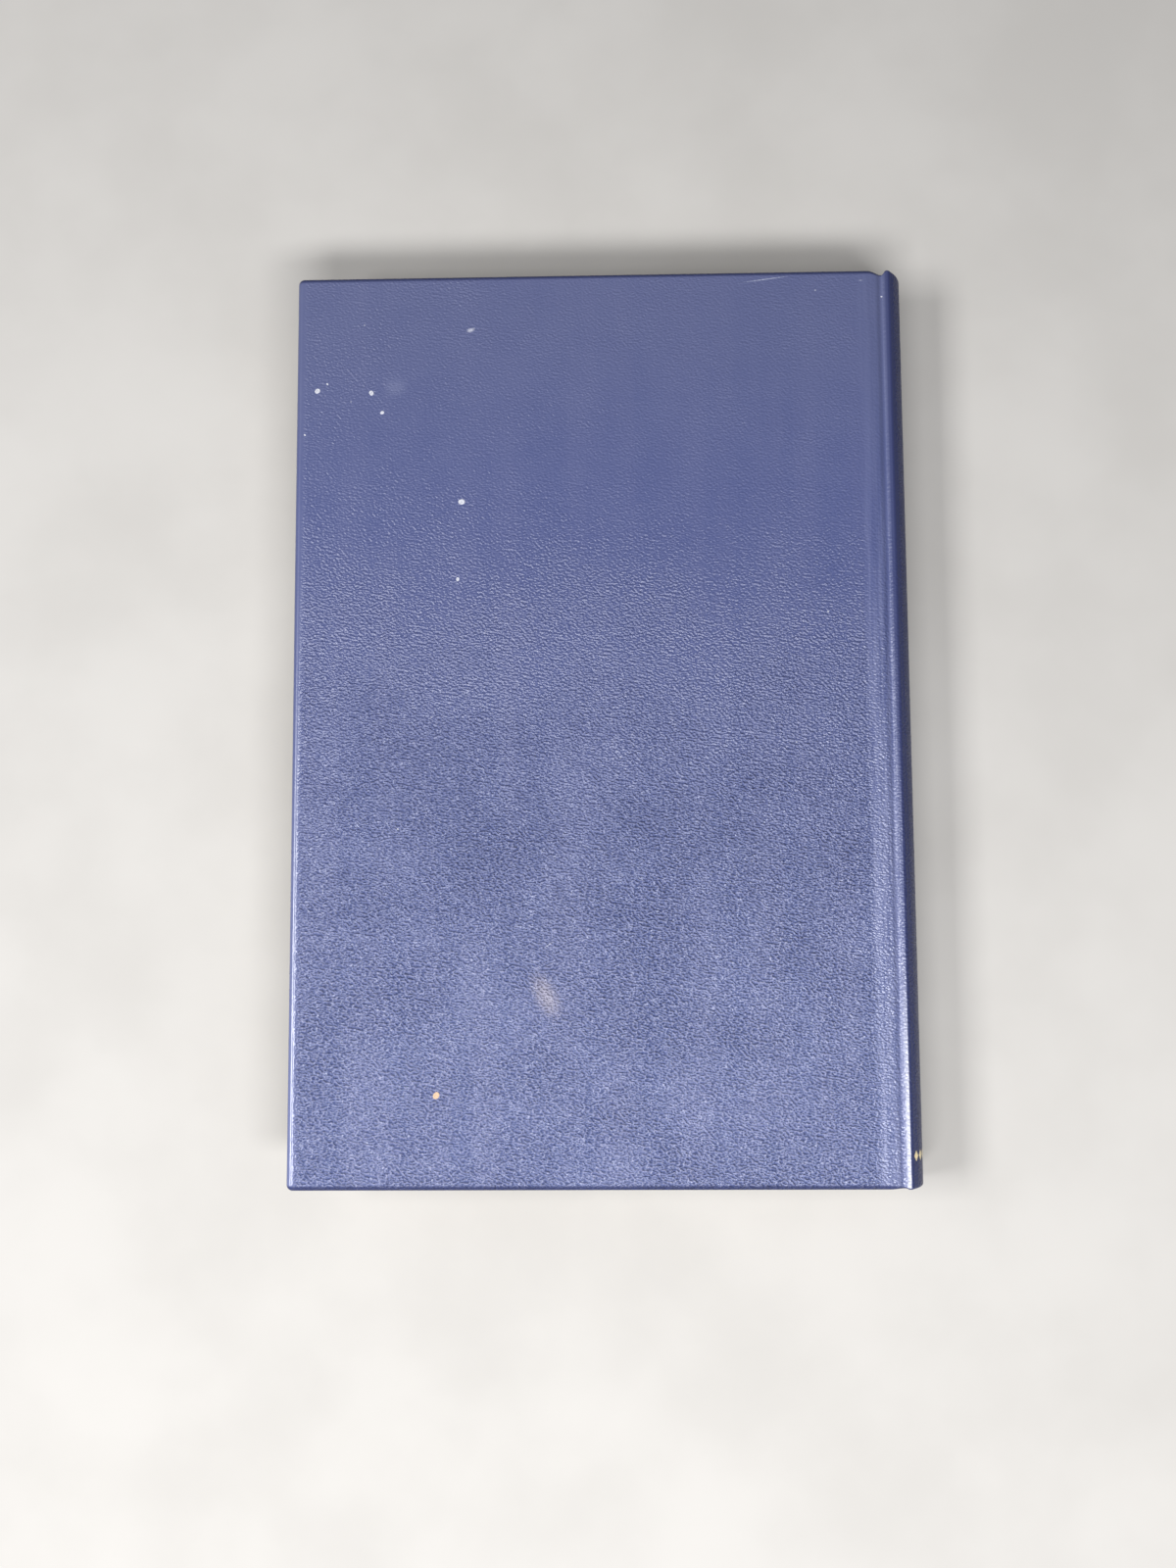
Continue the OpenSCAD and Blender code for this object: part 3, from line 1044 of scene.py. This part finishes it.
def page_block():
    """Points and faces of the block: the ring of leaf edges, closed by its caps."""
    random = np.random.default_rng(page_seed)
    t = np.linspace(-1, 1, 2 * leaves + 1)
    fore = pages_x + fore_hollow - fore_r + np.sqrt(fore_r ** 2 - (t * half_block) ** 2)
    reach = spine_reach(t)
    inside = np.linspace(0, shoulder_from, rows_inside)
    across = np.concatenate([inside, np.linspace(shoulder_from, 1, rows_on_shoulder)[1:]])
    along = np.linspace(-half_page, half_page, rows_along)[1:-1]

    def end_rows(side, order):
        stand = ragged_edge(random, len(across))
        x = fore + np.multiply.outer(across, reach - fore)
        z = leaf_height(x, np.broadcast_to(t, x.shape))
        return np.stack([x, side * (half_page + stand), z], axis=-1)[order]

    def side_rows(x, out, order):
        stand = ragged_edge(random, len(along))
        z = leaf_height(np.broadcast_to(x, stand.shape), np.broadcast_to(t, stand.shape))
        y = np.broadcast_to(along[:, None], stand.shape)
        return np.stack([x + out * stand, y, z], axis=-1)[order]

    back, ahead = slice(None, None, -1), slice(None)
    ring = np.concatenate([
        end_rows(-1, back), side_rows(fore, -1, ahead),
        end_rows(1, ahead), side_rows(reach, spine_ragged, back)
    ])
    points = np.concatenate([ring, ring[:1]]).reshape(-1, 3)
    faces = reverse(grid_faces(len(ring) + 1, len(t)))
    return points, faces + block_caps(len(across), len(along), len(t))


def block_caps(across, along, columns):
    """Top and bottom of the block: strips from tail to head, with one wide face at each end."""
    faces = []
    for level in (0, columns - 1):
        def tail(i):
            return (across - 1 - i) * columns + level

        def head(i):
            return (across + along + i) * columns + level

        fore = [(across + j) * columns + level for j in range(along)]
        spine = [(2 * across + along + j) * columns + level for j in range(along)]
        strips = [[tail(i), head(i), head(i + 1), tail(i + 1)] for i in range(1, across - 2)]
        strips.append([tail(0)] + fore + [head(0), head(1), tail(1)])
        last = across - 1
        strips.append([tail(last - 1), head(last - 1), head(last)] + spine + [tail(last)])
        faces += reverse(strips) if level == 0 else strips
    return reverse(faces)


page_points, page_faces = page_block()
print("the block has", len(page_points), "points before welding")

# %% [markdown]
# ## Finish of the cut edges
#
# Cut paper is matt and a little darker than its face. Noise that is squeezed along the book's thickness
# adds finer lines between the leaves, and a broad stain shows where fingers and dust have yellowed the
# edge.

# %% Finish of the cut edges
def paper_edge():
    shade, light, stain = (0.50, 0.43, 0.31, 1), (0.66, 0.61, 0.50, 1), (0.46, 0.36, 0.23, 1)
    made = Finish("cut_page_edges", Roughness=0.88)
    lines = made.stretched_noise((0.06, 0.06, 4.0), scale=1.0, detail=3.0, rough=0.65)
    colour = made.blend(made.ramp(lines, 0.35, 0.65), shade, light)
    stained = made.ramp(made.noise(0.05, detail=4.0, rough=0.6), 0.45, 0.75, 0.0, 0.45)
    made.join("Base Color", made.blend(stained, colour, stain))
    made.relief(lines, 0.03)
    return made.material


pages_piece = new_piece("pages", page_points, page_faces)
dress(pages_piece, paper_edge(), sharp=70)
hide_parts("text_block")
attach(pages_piece, "book_block")

# %% [markdown]
# ## Lines of the endpapers
#
# An endpaper is a folded sheet. One half, the flyleaf, lies on the pages, and the other is pasted to the
# board, over the turn-ins of the covering and over a strip of open-weave cloth. Paper pasted over an edge
# shows it as a soft step, so the pasted leaf gets its relief from what lies beneath. In the joint the
# sheet runs from the board to the shoulder, along the covering's own line.

# %% Lines of the endpapers
step_w = 0.9
window_y = half_case - turn_in
least_step = 0.05


def pasted_height(x, y):
    """Height of the pasted leaf's open side over the turn-ins, the board and the strip of cloth."""
    window = smooth((x - fore_x - turn_in) / step_w) * smooth((window_y - np.abs(y)) / step_w)
    over_cloth = smooth((x - flange_low[0] + step_w) / step_w)
    flange = over_cloth * smooth((flange_high[1] - np.abs(y)) / step_w + 1)
    return paste_low[2] + cloth_t * window - mull_t * window * flange


def joint_strip(depth):
    """Line of a layer under the joint's covering: from the board to the groove, and on to the ridge."""
    lower = soft_curve((board_end, board_low[2]), (groove_x, groove_z - cloth_t), steps=12)
    lower -= outward(lower[::-1])[::-1] * depth
    upper = flank_part[::-1] - outward(flank_part)[::-1] * (cloth_t + depth)
    from_middle = np.hypot(upper[:, 0] - spine_x, upper[:, 1] - mid_z)
    upper = upper[(from_middle < block_r + mull_t) & (upper[:, 0] > lower[-1, 0] + least_step)]
    return np.concatenate([lower[1:], upper])


def leaf_line(height):
    """Line of a layer on the pages, from the groove up the block's shoulder."""
    line = soft_curve((groove_x - 0.2, pages_z), (ridge_x, leaf_z), steps=14)
    line += outward(line[::-1])[::-1] * height
    return line[np.hypot(line[:, 0] - spine_x, line[:, 1] - mid_z) < block_r]


print("points across the joint:", len(joint_strip(mull_t + end_t)),
      "and on the shoulder:", len(leaf_line(end_t)))

# %% [markdown]
# ## Finish of the endpapers
#
# Plain uncoated paper: fibres a fraction of a millimetre long, and faint clouds where the pulp was
# thicker.

# %% Finish of the endpapers
def paper():
    sheet, cloud, fibre = (0.58, 0.545, 0.46, 1), (0.53, 0.49, 0.40, 1), (0.45, 0.41, 0.33, 1)
    made = Finish("endpaper", Roughness=0.85)
    fibres = made.noise(1.6, detail=4.0, rough=0.7)
    colour = made.blend(made.ramp(made.noise(0.03, detail=3.0), 0.35, 0.7), sheet, cloud)
    made.join("Base Color", made.blend(made.ramp(fibres, 0.4, 0.7, 0.0, 0.25), colour, fibre))
    made.relief(fibres, 0.02)
    return made.material


paper_finish = paper()
print("nodes in the paper:", len(paper_finish.node_tree.nodes))

# %% [markdown]
# ## Pasted leaves
#
# The pasted leaf needs rows close together only where it steps over a turn-in or over the cloth, so its
# rows are set in stretches. A ripple of a hundredth of a millimetre makes it look pasted and not printed.
# Each paper is drawn a little thinner than its place, so that two sheets never share a face.

# %% Pasted leaves
paper_share = 0.98
paste_ripple = 0.012
level_w = 1.5


def stretches(*parts):
    """Places along an axis, from stretches given as start, end and count."""
    return np.concatenate([np.linspace(*part) for part in parts])


def pastedown(side, seed):
    joint_line = joint_strip(mull_t + end_t)
    over_turn, over_cloth = fore_x + turn_in, flange_low[0]
    flat_x = stretches(
        (paste_low[0], over_turn - 1, 8), (over_turn - 0.8, over_turn + 1.6, 9),
        (over_turn + 3, over_cloth - 2, 34), (over_cloth - 1.4, over_cloth + 0.6, 8),
        (over_cloth + 2, board_end, 11)
    )
    side_y = stretches(
        (0, window_y - 2.5, 34), (window_y - 2, window_y + 0.6, 11), (window_y + 1.4, half_page, 7)
    )
    row_y = np.concatenate([-side_y[:0:-1], side_y])
    x, y = [axis.ravel() for axis in np.meshgrid(flat_x, row_y, indexing="ij")]
    ripple = paste_ripple * (1 + waves(seed, 11)(x, y))
    flat = np.stack([x, y, pasted_height(x, y) + ripple], axis=1)
    edge = pasted_height(np.full_like(row_y, board_end), row_y) - (board_low[2] - mull_t - end_t)
    bent = np.array([
        [px, py, pz + lift * (1 - smooth((px - board_end) / level_w))]
        for px, pz in joint_line for py, lift in zip(row_y, edge)
    ])
    points = np.concatenate([flat, bent])
    faces = reverse(grid_faces(len(flat_x) + len(joint_line), len(row_y)))
    piece = sheet_piece("pastedown", side, points, faces, end_t * paper_share, paper_finish)
    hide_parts(side + "_pastedown")
    return bend_at_joint(piece, side)


print("a pasted leaf is", round(end_t * paper_share, 3), "mm thick")

# %% [markdown]
# ## Flyleaves
#
# The free leaf lies on the pages and follows the rise of their shoulder, where it is held. It belongs to
# the pages and stays with them when a cover opens. Its ripple fades out before the shoulder.

# %% Flyleaves
fly_ripple = 0.02
ripple_end = groove_x - 3
ripple_fade = 10
fly_rows_across, fly_rows_along = 60, 72


def flyleaf(side, seed):
    shoulder = leaf_line(end_t)
    flat_x = np.linspace(pages_x, groove_x - 0.6, fly_rows_across)
    row_y = np.linspace(-half_page, half_page, fly_rows_along)
    x, y = [axis.ravel() for axis in np.meshgrid(flat_x, row_y, indexing="ij")]
    ripple = fly_ripple * (1 + waves(seed, 30)(x, y)) * smooth((ripple_end - x) / ripple_fade)
    flat = np.stack([x, y, pages_z + end_t + ripple], axis=1)
    bent = np.array([[px, py, pz] for px, pz in shoulder for py in row_y])
    points = np.concatenate([flat, bent])
    faces = grid_faces(len(flat_x) + len(shoulder), len(row_y))
    piece = sheet_piece("flyleaf", side, points, faces, end_t * paper_share, paper_finish)
    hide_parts(side + "_flyleaf")
    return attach(piece, "book_block")


print("the ripple of a flyleaf ends at x =", round(ripple_end, 1), "mm")

# %% [markdown]
# ## Both endpapers
#
# The two halves of an endpaper are one folded sheet, so they are made together. Each half gets a seed of
# its own, so that no two ripple alike.

# %% Both endpapers
for side, seed in (("back", 31), ("front", 37)):
    pastedown(side, seed)
    flyleaf(side, seed + 2)

# %% [markdown]
# ## The open-weave cloth
#
# Under the pasted leaf lies the flange of the mull, a loose cotton cloth stiffened with glue. It joins
# the pages to the boards, so it runs into the joint too.

# %% The open-weave cloth
thread_spacing = 1.1
cloth_share = 0.9
flange_rows_across, flange_rows_along = 14, 60


def weave(rest_stored):
    gap, thread = (0.36, 0.31, 0.22, 1), (0.66, 0.60, 0.47, 1)
    made = Finish("mull_weave", rest_stored, Roughness=0.9)
    place = made.node("SeparateXYZ", {0: made.place})
    warp, weft = [
        made.math("SINE", made.math("MULTIPLY", place.outputs[axis], math.tau / thread_spacing))
        for axis in (0, 1)
    ]
    threads = made.math("MAXIMUM", warp, weft)
    made.join("Base Color", made.blend(made.ramp(threads, -0.2, 0.7), gap, thread))
    made.relief(threads, 0.05)
    return made.material


mull_finish = weave(rest_stored=True)


def mull_flange(side):
    flat_x = np.linspace(flange_low[0], board_end, flange_rows_across)
    flat = [(x, board_low[2] - mull_t) for x in flat_x]
    line = flat + [(x, z) for x, z in joint_strip(mull_t) if x < flange_high[0]]
    row_y = np.linspace(flange_low[1], flange_high[1], flange_rows_along)
    points = np.array([[x, y, z] for x, z in line for y in row_y])
    faces = reverse(grid_faces(len(line), len(row_y)))
    piece = sheet_piece("mull_flange", side, points, faces, mull_t * cloth_share, mull_finish)
    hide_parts(side + "_mull_flange")
    return bend_at_joint(piece, side)


mull_flange("back")
mull_flange("front")

# %% [markdown]
# ## Thread of the bands
#
# At head and tail a small worked bead hides the ends of the spine. Real ones are silk or cotton wound
# over a core in two colours. The finish counts the turns of thread along the spine from a number stored
# on each point, so that the colour changes every three turns.

# %% Thread of the bands
thread_pitch = 0.55
stripe_turns = 6


def band_finish():
    red, cream, fuzz_shade = (0.33, 0.035, 0.04, 1), (0.72, 0.63, 0.44, 1), (0.30, 0.20, 0.14, 1)
    made = Finish("wound_band", Roughness=0.7)
    wound = made.node("Attribute", {}, attribute_name="wound").outputs["Fac"]
    stripe = made.math("SINE", made.math("MULTIPLY", wound, math.tau / (stripe_turns * thread_pitch)))
    fuzz = made.noise(5.0, detail=3.0)
    colour = made.blend(made.ramp(stripe, -0.1, 0.1), red, cream)
    made.join("Base Color", made.blend(made.ramp(fuzz, 0.4, 0.7, 0.0, 0.3), colour, fuzz_shade))
    made.relief(fuzz, 0.03)
    return made.material


band_material = band_finish()
print("one stripe of the bands is", round(stripe_turns * thread_pitch / 2, 2), "mm wide")

# %% [markdown]
# ## The bands
#
# The bead and the tape that holds it to the spine are one outline, swept along the spine's curve. Every
# turn of thread is a ridge, so the outline shrinks a little and grows again four steps further on.

# %% The bands
tape_t = mull_t * cloth_share
tape_length = 11.5
bead_h = corners("head_band")[1][1] - half_page
steps_per_turn = 4
thread_depth = 0.09


def band_outline(half_w, ridge):
    """Bead and tape as pairs of distance from the bead's middle and height above the pages."""
    crown = np.linspace(0, math.pi, 13)
    outline = [(half_w - tape_t, 0), (half_w - tape_t, -tape_length), (half_w, -tape_length)]
    outline += [
        (half_w * ridge * math.cos(a), bead_h - half_w + half_w * ridge * math.sin(a)) for a in crown
    ]
    return outline + [(-half_w * ridge, 0)]


def band(name, side):
    """Bead on the edge of the pages and the tape that holds it to the spine, swept round the spine."""
    box_low, box_high = corners(name)
    reach = math.asin((box_high[2] - mid_z) / (block_r + tape_t))
    half_w = (block_r + tape_t - (box_low[0] - spine_x) / math.cos(reach)) / 2
    centre_r = block_r + tape_t - half_w
    steps = round(2 * reach * block_r / thread_pitch) * steps_per_turn
    points = []
    for i, angle in enumerate(np.linspace(-reach, reach, steps + 1)):
        ridge = 1 - thread_depth * (1 + math.cos(math.tau * i / steps_per_turn)) / 2
        outline = band_outline(half_w, ridge)
        for r, h in outline:
            x, z = spine_x + (centre_r + r) * math.cos(angle), mid_z + (centre_r + r) * math.sin(angle)
            points.append([x, side * (half_page + h), z])
    ring = len(outline)
    faces = [
        [i * ring + j, (i + 1) * ring + j, (i + 1) * ring + (j + 1) % ring, i * ring + (j + 1) % ring]
        for i in range(steps) for j in range(ring)
    ]
    faces += [list(range(ring)), list(range(steps * ring, (steps + 1) * ring))[::-1]]
    if side > 0:
        faces = reverse(faces)
    piece = new_piece(name + "_wound", points, faces)
    dress(piece, band_material, sharp=60)
    place = np.array([vertex.co for vertex in piece.data.vertices]) / MM
    store(piece, "wound", np.arctan2(place[:, 2] - mid_z, place[:, 0] - spine_x) * block_r)
    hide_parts(name)
    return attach(piece, "book_block")


band("head_band", 1)
band("tail_band", -1)

# %% [markdown]
# ## Hidden layers
#
# The boards, the card, the cloth on the spine and its paper lining keep the shapes of their solids. They
# show only when a cover is opened or at the ends of the spine, but they get a finish like all the rest.

# %% Hidden layers
def grey_board():
    pulp_shade, pulp_light = (0.20, 0.18, 0.15, 1), (0.34, 0.31, 0.27, 1)
    made = Finish("greyboard", False, Roughness=0.92)
    pulp = made.noise(0.9, detail=5.0, rough=0.75)
    made.join("Base Color", made.blend(made.ramp(pulp, 0.3, 0.7), pulp_shade, pulp_light))
    made.relief(pulp, 0.04)
    return made.material


def kraft_paper():
    brown, light_brown = (0.26, 0.16, 0.075, 1), (0.42, 0.28, 0.15, 1)
    made = Finish("kraft_lining", False, Roughness=0.85)
    fibres = made.stretched_noise((1, 0.15, 1), scale=0.7, detail=5.0, rough=0.7)
    made.join("Base Color", made.blend(made.ramp(fibres, 0.3, 0.7), brown, light_brown))
    made.relief(fibres, 0.02)
    return made.material


def finish_solid(node, material):
    mesh = frame["nodes"][node].data
    mesh.materials.clear()
    mesh.materials.append(material)
    print(f"{node}: {material.name}")


board_finish = grey_board()
for node in ("back_board", "front_board", "spine_card"):
    finish_solid(node, board_finish)
finish_solid("spine_lining", kraft_paper())
finish_solid("mull", weave(rest_stored=False))

# %% [markdown]
# ## Gold at the foot of the spine
#
# A binder presses gold leaf into the covering with a heated tool. Here it is a plain row of lozenges
# round the spine, near the tail. Each is a thin patch that follows the spine's curve, a hair above the
# covering. The leaf is rubbed, so the dark covering shows through it in places.

# %% Gold at the foot of the spine
gold_y = -103.4
gold_half = 1.25
gold_wide = 0.95
gold_count = 8
gold_pitch = 2.5
blunt_tip = 0.02
foil_lift = 0.002
foil_t = 0.03


def gold():
    leaf, bare_cloth = (0.98, 0.82, 0.48, 1), (0.24, 0.21, 0.20, 1)
    made = Finish("rubbed_gold", Metallic=0.3)
    worn = made.ramp(made.noise(2.6, detail=4.0, rough=0.7), 0.50, 0.66, 0.0, 0.8)
    made.join("Base Color", made.blend(worn, leaf, bare_cloth))
    made.join("Roughness", made.ramp(made.noise(1.4, detail=3.0), 0.3, 0.7, 0.32, 0.5))
    made.relief(made.noise(3.0, detail=3.0), 0.02)
    return made.material


def gold_row():
    points, faces = [], []
    steps = 8
    across = np.linspace(-1, 1, steps + 1)
    reach = spine_r + foil_lift
    for i in range(gold_count):
        middle = (i - (gold_count - 1) / 2) * gold_pitch
        for v in across:
            for u in across:
                angle = (middle + gold_wide * u * (1 + blunt_tip - abs(v))) / spine_r
                x, z = spine_x + reach * math.cos(angle), mid_z + reach * math.sin(angle)
                points.append([x, gold_y + gold_half * v, z])
        faces += grid_faces(steps + 1, steps + 1, i * (steps + 1) ** 2)
    piece = new_piece("gold_lozenges", points, faces)
    thicken(piece, foil_t)
    dress(piece, gold())
    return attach(piece, "book_block")


gold_row()

# %% [markdown]
# ## Shape of a dried drop
#
# A few drops of pale paint and one of an orange tint have dried on the cover. A drop that dries leaves
# its colour at the rim, so the larger ones are rings with a low middle. Each is turned from a small
# profile, its foot sunk into the covering, and its outline is pulled a little oval, since no drop falls
# quite straight.

# %% Shape of a dried drop
drop_height = 0.05
drop_oval = 0.12
points_round = 20
drop_foot = [(1.0, -1.4), (0.96, 0.3), (0.80, 1.0)]
ring_middle = [(0.55, 0.45), (0.25, 0.1)]
dot_middle = [(0.55, 1.0), (0.25, 1.0)]


def drop(pixel, radius, hollow, random):
    """Points and faces of one dried drop, as rounds of points from its foot to its middle."""
    centre = on_cover(pixel)
    face_z = case_t - sunk(np.array(centre.x), np.array(centre.y), back_seed)
    angle = np.arange(points_round) * math.tau / points_round
    out = radius * (1 + drop_oval * np.sin(2 * angle + random.uniform(0, math.tau)))
    profile = drop_foot + (ring_middle if hollow else dot_middle)
    points = [
        [centre.x + out[i] * r * math.cos(angle[i]), centre.y + out[i] * r * math.sin(angle[i]),
         min(face_z + drop_height * h, case_t)]
        for r, h in profile for i in range(points_round)
    ]
    faces = []
    for k in range(len(profile) - 1):
        for i in range(points_round):
            low, high = k * points_round, (k + 1) * points_round
            after = (i + 1) % points_round
            faces.append([low + i, low + after, high + after, high + i])
    last = (len(profile) - 1) * points_round
    return points, faces + [list(range(points_round))[::-1], list(range(last, last + points_round))]


print("a drop stands at most", drop_height, "mm above the covering")

# %% [markdown]
# ## Specks
#
# All pale drops are one piece, and the orange one is another. Pixel and radius of each come from the
# photo, and the paint is blotchy, as it was thick in some places and thin in others.

# %% Specks
drop_rings = {(324, 399): 0.66, (471, 512): 0.78, (467, 591): 0.46, (379, 401): 0.62, (390, 421): 0.48}
drop_dots = {
    (311, 444): 0.24, (334, 392): 0.26, (832, 296): 0.13, (845, 624): 0.20, (813, 757): 0.16,
    (858, 757): 0.14, (633, 773): 0.14, (406, 846): 0.20, (372, 332): 0.14, (358, 410): 0.12,
    (440, 732): 0.12
}
orange_rings = {(445, 1118): 0.82}


def drop_finish(name, thin, thick):
    made = Finish(name, Roughness=0.5)
    blotches = made.ramp(made.noise(3.0, detail=4.0, rough=0.7), 0.35, 0.65)
    made.join("Base Color", made.blend(blotches, thin, thick))
    made.relief(made.noise(4.0, detail=3.0), 0.03)
    return made.material


def drops(name, rings, dots, material, seed):
    random = np.random.default_rng(seed)
    places = [(*ring, True) for ring in rings.items()] + [(*dot, False) for dot in dots.items()]
    points, faces = [], []
    for pixel, radius, hollow in places:
        some_points, some_faces = drop(pixel, radius, hollow, random)
        faces += [[len(points) + i for i in face] for face in some_faces]
        points += some_points
    piece = new_piece(name, points, faces)
    dress(piece, material, sharp=80)
    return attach(piece, "back_cover")


pale_paint = drop_finish("dried_paint", (0.30, 0.31, 0.38, 1), (0.70, 0.71, 0.76, 1))
orange_paint = drop_finish("orange_stain", (0.46, 0.32, 0.21, 1), (0.60, 0.42, 0.28, 1))
drops("paint_drops", drop_rings, drop_dots, pale_paint, 3)
drops("orange_drop", orange_rings, {}, orange_paint, 4)

# %% [markdown]
# ## Light
#
# A wide soft lamp hangs high beyond the tail. It is mirrored in the covering, which is why the cover is
# bright at the tail and darker at the head. A window on the left brings out the relief of the grain. The
# room adds a little bluish light from all round.

# %% Light
def area_light(name, place, aim, size, power):
    lamp = bpy.data.lights.new(name, "AREA")
    lamp.shape = "RECTANGLE"
    lamp.size, lamp.size_y = [length * MM for length in size]
    lamp.energy = power
    holder = bpy.data.objects.new(name, lamp)
    holder.location = Vector(place) * MM
    holder.rotation_mode = "QUATERNION"
    holder.rotation_quaternion = (Vector(aim) - Vector(place)).to_track_quat("-Z", "Y")
    bpy.context.scene.collection.objects.link(holder)
    print(f"{name}: {power} W, {round((Vector(aim) - Vector(place)).length)} mm from the book")
    return holder


area_light("ceiling", (70, -440, 640), (0, -30, 10), (700, 160), 7.4)
area_light("window", (-600, -100, 700), (0, -40, 10), (420, 220), 6.4)

room_colour = (0.90, 0.93, 1.0, 1)
room_light = 0.14
world = bpy.data.worlds.new("room")
world.use_nodes = True
surroundings = world.node_tree.nodes["Background"]
surroundings.inputs["Color"].default_value = room_colour
surroundings.inputs["Strength"].default_value = room_light
bpy.context.scene.world = world
bpy.context.scene.view_settings.view_transform = "Standard"

# %% [markdown]
# ## Floor
#
# The floor is one large plain pale square with very faint clouds. It belongs to the stage and not to the
# book.

# %% Floor
floor_size = 3000.0
floor_shade, floor_light = (0.46, 0.445, 0.425, 1), (0.50, 0.485, 0.465, 1)

half_floor = floor_size * MM / 2
floor_corners = [(x * half_floor, y * half_floor, 0) for x, y in ((-1, -1), (1, -1), (1, 1), (-1, 1))]
floor_mesh = bpy.data.meshes.new("floor")
floor_mesh.from_pydata(floor_corners, [], [[0, 1, 2, 3]])
floor = bpy.data.objects.new("floor", floor_mesh)
bpy.context.scene.collection.objects.link(floor)
ground = Finish("pale_floor", False, Roughness=0.9)
clouds = ground.ramp(ground.noise(0.02, detail=4.0), 0.3, 0.7)
ground.join("Base Color", ground.blend(clouds, floor_shade, floor_light))
floor_mesh.materials.append(ground.material)
print("floor:", floor_size, "mm wide")
